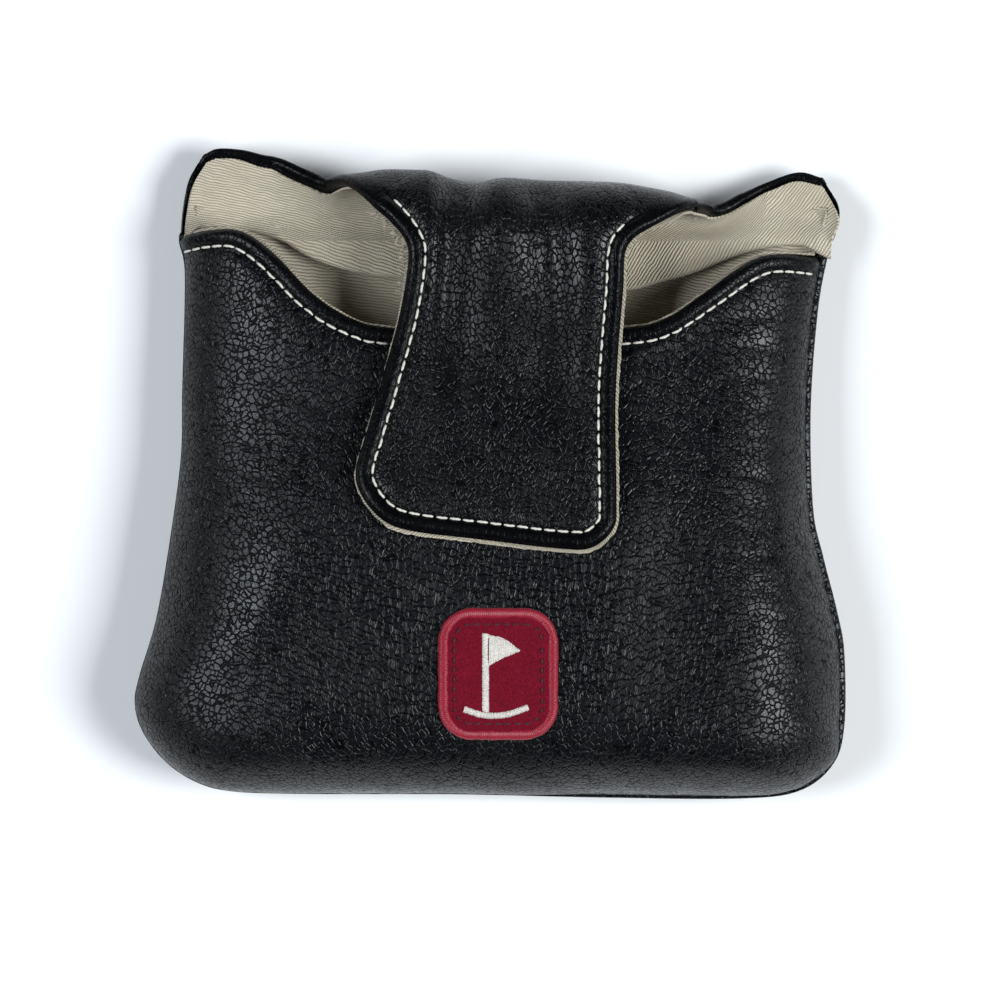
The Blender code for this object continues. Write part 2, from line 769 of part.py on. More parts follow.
def tongue_sides(angle):
    """Left and right edge of the tongue round the roll: it narrows towards the flap."""
    share = smoothstep(angle / FOLD_TURN)
    return [lerp(a, b, share) * SCALE_X for a, b in zip(FOLD_SIDES, FLAP_TOP_SIDES)]


for link, start, end, turn in (("lower", -FOLD_TURN, 0.0, lower_turn),
                               ("upper", 0.0, FOLD_TURN, crest_turn)):
    angles = (start + CUT_ANGLE, end - CUT_ANGLE)
    fold_link(f"fold_{link}_leather", angles, (0.0, LEATHER), tongue_sides, leather, turn)
    fold_link(f"fold_{link}_lining", angles, (LEATHER + GAP, LEATHER + GAP + LINING),
              tongue_sides, twill, turn)

# Flap
flap_top = ROLL_Y + ROLL_R * math.cos(FOLD_TURN + CUT_ANGLE)
flap_sides = [x * SCALE_X for x in FLAP_TOP_SIDES]
flap_edge = smooth_curve([(flap_sides[0], flap_top), *placed(FLAP_EDGE),
                          (flap_sides[1], flap_top)])
FLAP_ROWS = 15
FLAP_MIDDLE = 0.505  # where along its edge the flap's bottom middle lies


def flap_grid(inset, top_y, columns):
    """A grid over the flap, its edge moved inwards and its top at top_y."""
    edge = offset_curve(flap_edge, inset)
    edge = edge[edge[:, 1] <= max(top_y, edge[:, 1].min() + 1)]
    edge = np.vstack([(edge[0][0], top_y), edge, (edge[-1][0], top_y)])
    length = lengths_along(edge)[-1]
    near_top = [0.0, 2.2, 4.4, 6.5]
    rows = near_top + list(np.linspace(10.0, FLAP_MIDDLE * length, FLAP_ROWS - len(near_top)))
    back_rows_of_flap = [d * (1 - FLAP_MIDDLE) / FLAP_MIDDLE if d > near_top[-1] else d
                         for d in rows]
    from_left = points_at(edge, rows)
    from_right = points_at(edge, [length - d for d in back_rows_of_flap])
    from_right[-1] = from_left[-1]
    stem = stem_rows(top_y, rows, FLAP_STEM_LENGTH)
    return Grid(from_left, from_right, stem, lambda j, share: columns, flap_height, 1,
                top=lambda x: top_y, fade=20.0)


hem_columns = [0.0, 1.2, HEM_WIDTH, HEM_WIDTH + 0.5, HEM_WIDTH + 4.0]
flap = flap_grid(0.0, flap_top, hem_columns)
flap.normals[:, 0] = flap.normals[:, 1]
sheet("flap_leather", flap, flat(0.0),
      lambda row, column: HEM if column < 3 else LEATHER, flap_hide, parent=flap_turn)

FOAM_SETBACK = 1.2  # of the flap's foam from the hem
INNER_COLUMNS = [0.0, 5.0]
FOAM_TOP_SETBACK = 2.0  # from the start of the roll
foam_grid = flap_grid(HEM_WIDTH + FOAM_SETBACK, ROLL_Y - FOAM_TOP_SETBACK, INNER_COLUMNS)
foam_grid.normals[:, 0] = foam_grid.normals[:, 1]
flap_foam = sheet("flap_foam", foam_grid, flat(LEATHER + GAP),
                  flat(LEATHER + GAP + FLAP_FOAM), foam, parent=flap_turn)

lining_grid = flap_grid(-LINING_PEEK, flap_top, INNER_COLUMNS)
lining_grid.normals[:, 0] = lining_grid.normals[:, 1]
FLAP_LINING_DEPTH = LEATHER + GAP + FLAP_FOAM + GAP
THIN_ROWS = 2  # rows of the flap's lining beside the fold line, where there is no foam


def flap_lining_depth(row, column):
    return HEM + GAP if lining_grid.stem_of(row) < THIN_ROWS else FLAP_LINING_DEPTH


sheet("flap_lining", lining_grid, flap_lining_depth, deeper(flap_lining_depth, LINING), twill,
      parent=flap_turn)

FLAP_STITCH_START = 2.0  # from the fold line
FLAP_STITCH_POINTS = 52
flap_line = offset_curve(flap_edge, STITCH_INSET)
flap_line = flap_line[flap_line[:, 1] < flap_top - FLAP_STITCH_START]
flap_line = points_at(flap_line, np.linspace(0.0, lengths_along(flap_line)[-1], FLAP_STITCH_POINTS))
tube("flap_topstitch", [surface_at(flap_height, x, y, STITCH_LIFT)[0] for x, y in flap_line],
     THREAD_R, thread, parent=flap_turn)

# Magnets, each in a round pocket of the foam
MAGNET_THICKNESS = 1.3
bottom_half = flap_edge[flap_edge[:, 1] < flap_edge[:, 1].min() + HEM_WIDTH]
flap_bottom = height_on(bottom_half)


def sag(height, x, y):
    """How far the leather dips under a flat disc of a magnet's size."""
    place, normal = surface_at(height, x, y, 0.0)
    drops = [0.0]
    for step in range(12):
        angle = math.pi * step / 6
        beside = Vector((x + MAGNET_R * math.cos(angle), y + MAGNET_R * math.sin(angle), 0.0))
        beside.z = height(beside.x, beside.y, math.inf)
        drops.append((place - beside).dot(normal))
    return max(drops)


for side, x in zip(("left", "right"), [x * SCALE_X for x in MAGNET_X]):
    y = flap_bottom(x) + HEM_WIDTH + FOAM_SETBACK + MAGNET_WALL + GAP + MAGNET_R
    for where, height, holder, turn in (("flap", flap_height, flap_foam, flap_turn),
                                        ("front", front_height, front_foam, None)):
        magnet_depth = LEATHER + GAP + sag(height, x, y) + MAGNET_THICKNESS
        disc(f"{where}_magnet_{side}", x, y, height, -magnet_depth, MAGNET_THICKNESS, MAGNET_R,
             steel, turn)
        cutter = disc(f"{where}_pocket_{side}", x, y, height, -magnet_depth - FOAM,
                      MAGNET_THICKNESS + 2 * FOAM, MAGNET_R + GAP, steel, turn)
        cut_with(holder, cutter)

# Patch on the front panel
centre = placed([PATCH_CENTRE])[0]
width, tall = PATCH_SIZE


def patch_outline(inset):
    return rounded_rectangle(centre, width - 2 * inset, tall - 2 * inset, PATCH_CORNER - inset)


felt_top = CLEAR_OF_PANEL + FELT
draped_ring("patch_border", patch_outline(0.0), patch_outline(BORDER_WIDTH), front_tree,
            CLEAR_OF_PANEL, CLEAR_OF_PANEL + BORDER_HEIGHT, red_edge)
draped_plate("patch_felt", patch_outline(BORDER_WIDTH + GAP), centre, front_tree,
             CLEAR_OF_PANEL, felt_top, felt, rings=(1.0, 0.75, 0.4))
TACK_INSET = BORDER_WIDTH + GAP + 0.9
TACK_R = 0.22
TACK_LIFT = GAP + TACK_R + 0.03
tube("patch_tack_stitch",
     [drape(front_tree, x, y, felt_top + TACK_LIFT) for x, y in patch_outline(TACK_INSET)],
     TACK_R, dark_thread, closed=True)

POLE_W = 1.8
FLAG_TOP = 8.2
FLAG_FOOT = -8.2
FLAG_LOW = 1.6
FLAG_REACH = 6.6
POLE_OFFSET = 2.6  # the pole stands left of the patch's middle
MOTIF_THICKNESS = 0.6
pole_x = centre[0] - POLE_OFFSET
flag = [
    (pole_x - POLE_W / 2, centre[1] + FLAG_TOP), (pole_x - POLE_W / 2, centre[1] + FLAG_LOW),
    (pole_x - POLE_W / 2, centre[1] + FLAG_FOOT), (pole_x + POLE_W / 2, centre[1] + FLAG_FOOT),
    (pole_x + POLE_W / 2, centre[1] + FLAG_LOW),
    (pole_x + FLAG_REACH, centre[1] + (FLAG_LOW + FLAG_TOP) / 2),
    (pole_x + POLE_W / 2, centre[1] + FLAG_TOP),
]
draped_plate("patch_flag_motif", flag, (pole_x, centre[1] + (FLAG_LOW + FLAG_TOP) / 2),
             front_tree, felt_top + GAP, felt_top + GAP + MOTIF_THICKNESS, white_edge)
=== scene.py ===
"""The looks of the putter head cover: padded black leather, twill lining, topstitching and patch.

Lengths are in millimetres in the frame of the solid model and go through MM once. The tongue, its
roll and the ears are drawn in the plane of the unfolded leather: X across, U along it, from 0
where the roll leaves the back panel.
"""

import json
import math

import bpy
import numpy as np
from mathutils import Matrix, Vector, kdtree
from mathutils.bvhtree import BVHTree


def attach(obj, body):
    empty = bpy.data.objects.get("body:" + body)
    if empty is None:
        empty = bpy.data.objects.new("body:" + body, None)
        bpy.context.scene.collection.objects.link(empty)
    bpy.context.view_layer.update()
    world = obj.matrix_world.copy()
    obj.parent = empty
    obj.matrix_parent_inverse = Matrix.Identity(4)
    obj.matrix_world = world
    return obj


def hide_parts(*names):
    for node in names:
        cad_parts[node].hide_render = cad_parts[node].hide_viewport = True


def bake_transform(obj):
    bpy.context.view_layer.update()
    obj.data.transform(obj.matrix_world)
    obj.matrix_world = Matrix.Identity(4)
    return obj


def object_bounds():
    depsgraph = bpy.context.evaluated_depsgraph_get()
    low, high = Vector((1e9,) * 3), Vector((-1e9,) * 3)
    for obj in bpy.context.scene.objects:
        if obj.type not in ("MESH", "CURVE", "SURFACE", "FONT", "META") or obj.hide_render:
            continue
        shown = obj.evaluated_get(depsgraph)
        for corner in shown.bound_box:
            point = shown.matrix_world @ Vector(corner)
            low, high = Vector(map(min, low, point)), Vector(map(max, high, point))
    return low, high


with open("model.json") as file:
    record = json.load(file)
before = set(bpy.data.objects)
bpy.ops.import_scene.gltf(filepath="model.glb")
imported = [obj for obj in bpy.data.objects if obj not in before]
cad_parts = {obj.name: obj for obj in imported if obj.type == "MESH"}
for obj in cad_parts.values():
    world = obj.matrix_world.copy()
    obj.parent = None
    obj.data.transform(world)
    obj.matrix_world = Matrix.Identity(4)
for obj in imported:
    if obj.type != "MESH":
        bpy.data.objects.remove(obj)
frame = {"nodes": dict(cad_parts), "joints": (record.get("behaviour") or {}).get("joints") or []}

MM = 0.001
CAD_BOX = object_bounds()

# ---------------------------------------------------------------- sizes shared with the solids
LEATHER = 1.2
HEM = 2.4
FOAM = 1.8
LINING = 0.5
POUCH_TOP = 31.4
SEAM_Z = 12.0
MOUTH_TOP = 23.5
CROSS_DOME = 2.0
BACK_ROUND = 14.0
BACK_FLAT_END = 28.0
BACK_LIFT = 3.0
EAR_DROP = 2.7
DOME_LOW_Y = -25.0
FLAP_OVER_DOME = 5.1  # outer face of the flap above the front panel
MIDDLE_X = 3.0
PATCH_CENTRE = (1.8, -42.0)
PATCH_SIZE = (25.0, 27.5)
PATCH_CORNER = 7.0
BORDER_WIDTH = 2.2

# Two of the three fold lines fix the roll.
crest_line, upper_line = [
    next(Vector(joint["pos_m"]) for joint in frame["joints"] if joint["name"] == name) / MM
    for name in ("fold_crest", "flap_root")
]
ROLL_Z = crest_line.z
HINGE_R = (upper_line.z - ROLL_Z) / math.sin(math.radians(60))
ROLL_Y = crest_line.y - HINGE_R
ROLL_R = HINGE_R + LEATHER / 2
ROLL_LENGTH = math.pi * ROLL_R
HALF_LENGTH = (CAD_BOX[1].y - CAD_BOX[0].y) / MM / 2

OUTLINE = (
    (-60.6, 67.6), (-64.3, 61.3), (-65.8, 50.1), (-64.5, 42.0), (-65.0, 17.3), (-65.3, 3.0),
    (-67.8, -15.6), (-70.5, -30.9), (-74.1, -43.1), (-75.0, -48.8), (-73.4, -54.5),
    (-68.9, -60.6), (-62.7, -65.0), (-55.0, -67.2), (-40.0, -67.8), (-6.4, -67.9),
    (24.4, -68.6), (52.9, -68.8), (65.4, -67.2), (72.5, -61.7), (75.0, -53.5), (75.0, -38.0),
    (73.4, -28.9), (70.5, -17.5), (68.4, -7.4), (67.9, 13.1), (69.4, 33.6), (71.5, 45.4),
    (74.3, 55.1), (70.8, 62.6),
)
MOUTH_CORNERS = (2, 27)
MOUTH_EDGE = (
    (-65.8, 50.1), (-59.7, 51.2), (-52.5, 50.8), (-45.3, 45.9), (-37.1, 37.7), (-28.8, 32.5),
    (-20.7, 30.6), (2.0, 29.4), (28.0, 30.6), (36.7, 32.5), (44.9, 37.7), (54.0, 43.9),
    (60.1, 45.9), (71.5, 45.4),
)
LEFT_EAR = ((-60.6, 67.6), (-57.6, 68.9), (-52.5, 68.7), (-48.0, 67.7))
RIGHT_EAR = ((52.5, 59.4), (58.2, 61.7), (65.4, 63.9), (70.8, 62.6))
FLAP_EDGE = (
    (-17.0, 44.8), (-18.7, 33.6), (-22.3, 20.3), (-25.9, 8.0), (-27.9, 0.8), (-26.9, -4.2),
    (-22.7, -9.4), (-16.6, -12.0), (-1.3, -13.9), (14.1, -15.7), (21.2, -15.6), (25.9, -11.4),
    (26.5, -5.3), (26.3, 13.1), (26.9, 25.4), (28.0, 38.7), (28.4, 45.9),
)
# Edges of the tongue from the ears round the roll, as X and the angle in degrees from its crest
NECK_LEFT = ((-42.8, -8), (-38.6, -17), (-36.3, -21.5), (-34.6, -20), (-33.4, -10), (-32.2, 3),
             (-29.4, 28), (-24.6, 57), (-21.0, 73), (-18.0, 90))
NECK_RIGHT = ((49.4, -27), (47.4, -23), (46.2, -8), (44.6, 14), (42.4, 37), (39.0, 59),
              (35.0, 75), (30.4, 90))
TONGUE_SIDES = (-34.0, 46.6)
EAR_BLEND = 12.0  # width beside the tongue over which an ear turns into the roll
EAR_THICK = LEATHER + 0.6  # leather turned over a thin foam
FLAP_THICK = LEATHER + 1.9
PANEL_THICK = LEATHER + FOAM
LINING_GAP = 0.35
LINING_FOLLOWS = 0.2  # share of the leather's relief that the lining takes

# ---------------------------------------------------------------- looks
HEM_WIDTH = 3.6  # from an edge to its topstitching
STITCH_PITCH = 2.85
STITCH_LENGTH = 2.3
STITCH_R = 0.27
STITCH_SINK = 0.30  # depth of a stitch's ends below the leather
STITCH_ARCH = 0.52  # height of its middle over its ends
WALE = 0.58
GRAIN = 1.25
BLACK = (0.0030, 0.0034, 0.0046)
# painted shade for the leather's creases
CREASE_SHADE_BLACK = (0.0010, 0.0011, 0.0015)
TWILL_LIGHT = (0.66, 0.60, 0.47)
TWILL_DARK = (0.30, 0.26, 0.19)
THREAD_WHITE = (0.80, 0.77, 0.70)
FELT_RED = (0.20, 0.004, 0.018)
BORDER_RED = (0.34, 0.006, 0.028)


def smoothstep(value):
    value = np.clip(value, 0.0, 1.0)
    return value * value * (3 - 2 * value)


def lerp(a, b, share):
    return a + (b - a) * share


def bell(value, width):
    return np.exp(-((value / width) ** 2))


def unit(vectors):
    return vectors / np.linalg.norm(vectors, axis=-1, keepdims=True)


def waves(x, y, size, seed, count=7):
    """Smooth unevenness from -1 to 1 in patches of about this size."""
    draw = np.random.default_rng(seed)
    total = np.zeros(np.broadcast(x, y).shape)
    for _ in range(count):
        angle, phase = draw.uniform(0, 2 * math.pi, 2)
        pitch = size * draw.uniform(1.4, 3.2)
        total += np.sin((x * math.cos(angle) + y * math.sin(angle)) * 2 * math.pi / pitch + phase)
    return total / math.sqrt(count) * 0.7


# ---------------------------------------------------------------- curves

CURVE_STEPS = 24


def smooth_curve(points, steps=CURVE_STEPS):
    """A Catmull-Rom curve through the points."""
    p = np.array(points, float)
    padded = np.vstack([2 * p[0] - p[1], p, 2 * p[-1] - p[-2]])
    found = []
    for a, b, c, d in zip(padded, padded[1:], padded[2:], padded[3:]):
        for step in range(steps):
            t = step / steps
            found.append(0.5 * (2 * b + (c - a) * t + (2 * a - 5 * b + 4 * c - d) * t**2
                                + (3 * b - a - 3 * c + d) * t**3))
    found.append(p[-1])
    return np.array(found)


def lengths_along(curve):
    return np.concatenate([[0], np.cumsum(np.linalg.norm(np.diff(curve, axis=0), axis=1))])


def length_of(curve):
    return lengths_along(curve)[-1]


def points_at(curve, where):
    along = lengths_along(curve)
    return np.stack([np.interp(where, along, curve[:, i]) for i in range(curve.shape[1])], axis=-1)


def part_of(curve, start, end, count):
    """Evenly spaced points of the curve between two lengths along it."""
    return points_at(curve, np.linspace(start, end, count))


def spaced(curve, count):
    return part_of(curve, 0, length_of(curve), count)


def offset_curve(curve, distance):
    """The curve moved to its left."""
    tangent = unit(np.gradient(curve, axis=0))
    return curve + np.reshape(distance, (-1, 1)) * np.stack([-tangent[:, 1], tangent[:, 0]], axis=1)


def crossing(curve, column, value, last=False):
    """Length along the curve at which a coordinate first, or last, passes a value."""
    side = curve[:, column] > value
    places = np.nonzero(side[1:] != side[:-1])[0]
    k = places[-1] if last else places[0]
    share = (value - curve[k, column]) / (curve[k + 1, column] - curve[k, column])
    along = lengths_along(curve)
    return lerp(along[k], along[k + 1], share)


class Nearest:
    """Distance to a curve, and how far along it the nearest point is."""

    def __init__(self, curve, spacing=0.15):
        length = length_of(curve)
        self.where = np.linspace(0, length, int(length / spacing) + 2)
        self.points = points_at(curve, self.where)
        self.tree = kdtree.KDTree(len(self.points))
        for i, (x, y) in enumerate(self.points):
            self.tree.insert((x, y, 0.0), i)
        self.tree.balance()

    def __call__(self, x, y):
        distance = np.empty(x.shape)
        along = np.empty(x.shape)
        for place in np.ndindex(x.shape):
            found = self.tree.find((x[place], y[place], 0.0))
            distance[place] = found[2]
            along[place] = self.where[found[1]]
        return np.where(distance < 0.04, 0.0, distance), along


outline = smooth_curve(OUTLINE)
outline_at = lengths_along(outline)
corner_left, corner_right = [outline_at[i * CURVE_STEPS] for i in MOUTH_CORNERS]
mouth_curve = smooth_curve(MOUTH_EDGE)

# ---------------------------------------------------------------- surfaces

def front_dome(x, y):
    rise = np.clip((ROLL_Y - y) / (ROLL_Y - DOME_LOW_Y), 0.0, 1.0)
    rise = 0.5 - 0.5 * np.cos(math.pi * rise)
    side = (x - MIDDLE_X) / 60.0
    return MOUTH_TOP + rise * (POUCH_TOP - MOUTH_TOP - CROSS_DOME * side * side)


def seam_height(y):
    return SEAM_Z - EAR_DROP * smoothstep(y / HALF_LENGTH)


def rounding(inset, width):
    return np.sqrt(1 - (1 - np.clip(inset / width, 0.0, 1.0)) ** 2)


# The ears leave the back panel level and bend up, over a length, to a steady slope.
EAR_RISE = 0.36
EAR_BEND = 10.0
ear_y = np.linspace(0.0, 26.0, 521)
ear_t = np.clip(ear_y / EAR_BEND, 0, 1)
ear_z = EAR_RISE * (EAR_BEND * (ear_t**3 - ear_t**4 / 2) + np.clip(ear_y - EAR_BEND, 0, None))
ear_u = np.concatenate([[0], np.cumsum(np.hypot(np.diff(ear_y), np.diff(ear_z)))])
# How far the roll's crest is pushed towards +Y at places across it, as X and shift
CREST_SHIFT = smooth_curve((
    (-70, 4.0), (-46, 4.0), (-42.8, 3.9), (-38.6, 3.5), (-36.5, 3.0), (-35.2, 2.3), (-34, 1.5),
    (-31, 0.9), (-22, 1.9), (-14, 1.8), (-8, 0.4), (-2.4, -0.6), (4, 0.2), (12, 0.1), (20, -0.5),
    (29.5, -1.2), (37, -2.4), (43, -4.2), (48, -4.8), (80, -4.8)))


def back_floor(y):
    """Height of the back panel's outer face away from its border, ears included."""
    low = BACK_LIFT * smoothstep((y - BACK_FLAT_END) / (ROLL_Y - BACK_FLAT_END))
    return np.where(y < ROLL_Y, low, BACK_LIFT + np.interp(y - ROLL_Y, ear_y, ear_z))


def tongue_share(x):
    """1 on the tongue and 0 on the ears."""
    left = smoothstep((x - TONGUE_SIDES[0] + EAR_BLEND) / EAR_BLEND)
    right = smoothstep((TONGUE_SIDES[1] + EAR_BLEND - x) / EAR_BLEND)
    return left * right


def relief(x, u):
    """The soft valleys and ridges that run down the tongue from its fold."""
    down = smoothstep((u - 15) / 16) * (1 - smoothstep((u - 56) / 30))
    sway = 1.2 * np.sin(u / 13)
    valleys = -2.9 * bell(x + 7.5 - sway, 3.8) - 2.6 * bell(x - 12.0 + sway, 4.3)
    ridges = 0.7 * bell(x - 2.0, 3.6) + 0.8 * bell(x + 14.0 - sway, 3.0) + 0.5 * bell(x - 20.0, 4.0)
    broad = 0.22 * waves(x, u, 9.0, 5)
    return (valleys + ridges) * down + broad * smoothstep((u + 5) / 10)


def unrolled(x, u):
    """Points of the leather's outer face over the unfolded plane, without relief."""
    x, u = np.broadcast_arrays(np.asarray(x, float), np.asarray(u, float))
    turn = np.clip(u, 0, ROLL_LENGTH) / ROLL_R
    shift = np.interp(x, CREST_SHIFT[:, 0], CREST_SHIFT[:, 1]) * np.sin(turn) ** 2
    roll_y = ROLL_Y + ROLL_R * np.sin(turn) + shift
    roll_z = ROLL_Z - ROLL_R * np.cos(turn)
    share = tongue_share(x)
    y = lerp(ROLL_Y + np.interp(u, ear_u, ear_y), roll_y, share)
    z = lerp(BACK_LIFT + np.interp(u, ear_u, ear_z), roll_z, share)
    back_y = ROLL_Y + u
    flap_y = ROLL_Y + ROLL_LENGTH - u
    y = np.where(u < 0, back_y, np.where(u > ROLL_LENGTH, flap_y, y))
    z = np.where(u < 0, back_floor(back_y),
                 np.where(u > ROLL_LENGTH, front_dome(x, flap_y) + FLAP_OVER_DOME, z))
    return np.stack([x, y, z], axis=-1)


def normals_of(surface, x, u, step=0.15):
    along = surface(x, u + step) - surface(x, u - step)
    across = surface(x + step, u) - surface(x - step, u)
    return unit(np.cross(along, across))


def lining_face(x, u):
    """The leather's face with the part of its relief that the lining follows."""
    return unrolled(x, u) + normals_of(unrolled, x, u) * (LINING_FOLLOWS * relief(x, u))[..., None]


def to_u(x, y):
    """U of a point of an ear, from its place seen from above."""
    table = np.linspace(-20.0, 22.0, 421)
    return float(np.interp(y, unrolled(np.full(table.shape, float(x)), table)[:, 1], table))


def ear_points(points):
    return [(x, to_u(x, y)) for x, y in points]


def neck_points(points):
    return [(x, ROLL_R * math.radians(90 + angle)) for x, angle in points]


left_side = outline[outline_at <= corner_left][::-1]
right_side = outline[outline_at >= corner_right]
free_edge = np.array(
    ear_points(left_side[::6])
    + ear_points(smooth_curve(LEFT_EAR, 6)[1:])
    + neck_points(NECK_LEFT)
    + [(x, ROLL_LENGTH + ROLL_Y - y) for x, y in FLAP_EDGE]
    + neck_points(NECK_RIGHT)[::-1]
    + ear_points(smooth_curve(RIGHT_EAR, 6)[:-1])
    + ear_points(right_side[::-6])
)
free_edge = smooth_curve(free_edge, 6)
edge_at = lengths_along(free_edge)
near_edge = Nearest(free_edge)
EAR_LEFT_END = crossing(free_edge, 0, TONGUE_SIDES[0])
flap_start = crossing(free_edge, 1, ROLL_LENGTH)
flap_end = crossing(free_edge, 1, ROLL_LENGTH, last=True)
EAR_RIGHT_START = crossing(free_edge, 0, TONGUE_SIDES[1], last=True)
STITCH_START = flap_start - 7.5
STITCH_END = flap_end + 2.6


def edge_fall(distance, edge):
    """How far a face falls towards an edge that is rounded over its full thickness."""
    radius = edge / 2
    return radius - np.sqrt(np.clip(radius**2 - np.clip(radius - distance, 0, None) ** 2, 0, None))


def hem(distance, along, stitched, edge=HEM):
    """How far the outer face stands off near an edge: a puffed roll, a stitched groove, a pad."""
    puff = 0.42 * np.sin(math.pi * np.clip((distance - 0.1) / 3.3, 0, 1))
    between = 0.5 + 0.5 * np.cos(2 * math.pi * along / STITCH_PITCH)
    pull = 0.16 * between * bell(distance - HEM_WIDTH, 1.0)
    groove = 0.42 * bell(distance - HEM_WIDTH, 0.42) + pull
    pad = 0.30 * smoothstep((distance - HEM_WIDTH) / 2.6) * (1 - smoothstep((distance - 9) / 12))
    raised = (puff - groove + pad) * stitched + 0.12 * puff * (1 - stitched)
    return raised - edge_fall(distance, edge)


def hem_inside(distance, thickness, edge=HEM):
    """Depth of the inner face near an edge: it meets the outer face halfway."""
    thickness = lerp(edge, thickness, smoothstep((distance - 4.0) / 2.0))
    return thickness - edge_fall(distance, edge)


def hem_grain(distance, least=0.35, start=2.6, width=2.2):
    """How pebbled the leather is: it is drawn smooth over a turned hem."""
    return lerp(least, 1.0, smoothstep((distance - start) / width))


# ---------------------------------------------------------------- materials

class Nodes:
    """Short calls for a material's node tree."""

    def __init__(self, name):
        self.material = bpy.data.materials.new(name)
        self.material.use_nodes = True
        self.tree = self.material.node_tree
        self.shader = self.tree.nodes["Principled BSDF"]

    def add(self, kind, inputs=(), **settings):
        node = self.tree.nodes.new(kind)
        for key, value in settings.items():
            setattr(node, key, value)
        for key, value in dict(inputs).items():
            self.set(node.inputs[key], value)
        return node

    def set(self, socket, value):
        if isinstance(value, bpy.types.NodeSocket):
            self.tree.links.new(value, socket)
        else:
            socket.default_value = value

    def look(self, **inputs):
        for key, value in inputs.items():
            self.set(self.shader.inputs[key.replace("_", " ")], value)

    def math(self, operation, a, b=0.0):
        return self.add("ShaderNodeMath", {0: a, 1: b}, operation=operation).outputs[0]

    def attribute(self, name, output="Vector"):
        return self.add("ShaderNodeAttribute", attribute_name=name).outputs[output]

    def scaled(self, vector, scale):
        return self.add("ShaderNodeMapping", {"Vector": vector, "Scale": scale}).outputs[0]

    def noise(self, vector, scale, detail=2.0):
        inputs = {"Vector": vector, "Scale": scale, "Detail": detail}
        return self.add("ShaderNodeTexNoise", inputs).outputs[0]

    def span(self, value, low, high, to_low=0.0, to_high=1.0):
        """The value eased from one range to another."""
        node = self.add("ShaderNodeMapRange", {
            "Value": value, "From Min": low, "From Max": high, "To Min": to_low, "To Max": to_high,
        }, interpolation_type="SMOOTHSTEP")
        return node.outputs[0]

    def mix(self, share, a, b):
        node = self.add("ShaderNodeMix", data_type="RGBA")
        for key, value in ((0, share), (6, a), (7, b)):
            if isinstance(value, tuple):
                value = (*value, 1.0)
            self.set(node.inputs[key], value)
        return node.outputs[2]

    def bump(self, height, distance, strength):
        inputs = {"Height": height, "Distance": distance * MM, "Strength": strength}
        return self.add("ShaderNodeBump", inputs).outputs[0]


def leather_material(name, base, crease_shade, roughness, grain=GRAIN):
    """Pebbled leather: plates between creases, finer wrinkles in them, smoother on the hems. Painted
    shade darkens the creases.
    """
    n = Nodes(name)
    rest = n.attribute("rest")
    pebbled = n.attribute("grain", "Fac")
    drift = n.add("ShaderNodeTexNoise", {"Vector": rest, "Scale": 0.35, "Detail": 2.0})
    moved = n.add("ShaderNodeVectorMath", {0: drift.outputs["Color"], 1: (1.6, 1.6, 1.6)},
                  operation="MULTIPLY")
    place = n.add("ShaderNodeVectorMath", {0: rest, 1: moved.outputs[0]}, operation="ADD").outputs[0]
    plates = n.add("ShaderNodeTexVoronoi", {"Vector": place, "Scale": 1 / grain, "Randomness": 0.95},
                   feature="DISTANCE_TO_EDGE").outputs["Distance"]
    small = n.add("ShaderNodeTexVoronoi", {"Vector": place, "Scale": 2.3 / grain},
                  feature="DISTANCE_TO_EDGE").outputs["Distance"]
    plate = n.span(plates, 0.0, 0.15)
    fine = n.span(small, 0.0, 0.16)
    fibre = n.noise(place, 3.4 / grain, 3.0)
    height = n.math("ADD", n.math("MULTIPLY", plate, 0.75), n.math("MULTIPLY", fine, 0.10))
    height = n.math("ADD", height, n.math("MULTIPLY", fibre, 0.22))
    height = n.math("MULTIPLY", height, pebbled)
    wear = n.noise(rest, 0.055, 3.0)
    raised = n.math("MULTIPLY", plate, pebbled)
    # painted shade: the colour falls to the crease colour between the plates, and also over the
    # smoother hems where the pebbling fades
    n.look(Base_Color=n.mix(raised, crease_shade, base),
           Specular_IOR_Level=n.span(raised, 0.0, 1.0, 0.07, 0.29),
           Roughness=n.math("ADD", n.span(wear, 0.3, 0.7, roughness - 0.05, roughness + 0.07),
                            n.math("MULTIPLY", plate, -0.05)),
           Normal=n.bump(height, 0.18, 0.70))
    return n.material


def twill_material(name, light, dark):
    """Twill: slanted wales of short floats, from the weave attribute, in mm along and across."""
    n = Nodes(name)
    weave = n.attribute("weave")
    wander = n.noise(weave, 0.28, 2.0)
    split = n.add("ShaderNodeSeparateXYZ", {"Vector": weave})
    across = n.math("ADD", n.math("DIVIDE", split.outputs[1], WALE), n.math("MULTIPLY", wander, 1.7))
    wale = n.math("ABSOLUTE", n.math("SINE", n.math("MULTIPLY", across, math.pi)))
    step = n.math("MULTIPLY", n.math("FLOOR", across), 0.5)
    floats = n.math("ADD", n.math("DIVIDE", split.outputs[0], 0.78 * WALE), step)
    floats = n.math("ABSOLUTE", n.math("SINE", n.math("MULTIPLY", floats, math.pi)))
    yarn = n.math("MULTIPLY", wale, n.span(floats, 0.0, 0.55, 0.55, 1.0))
    slub = n.noise(n.scaled(weave, (0.25, 1.4, 1.0)), 1.2, 3.0)
    tone = n.math("ADD", n.span(yarn, 0.05, 0.80), n.span(slub, 0.35, 0.75, -0.16, 0.12))
    shade = n.span(n.noise(weave, 0.11, 2.0), 0.3, 0.75, 0.0, 0.35)
    colour = n.mix(tone, dark, light)
    colour = n.mix(shade, colour, (light[0] * 0.72, light[1] * 0.68, light[2] * 0.60))
    n.look(Base_Color=colour, Roughness=0.93, Specular_IOR_Level=0.2, Sheen_Weight=0.15,
           Normal=n.bump(yarn, 0.22, 0.9))
    return n.material


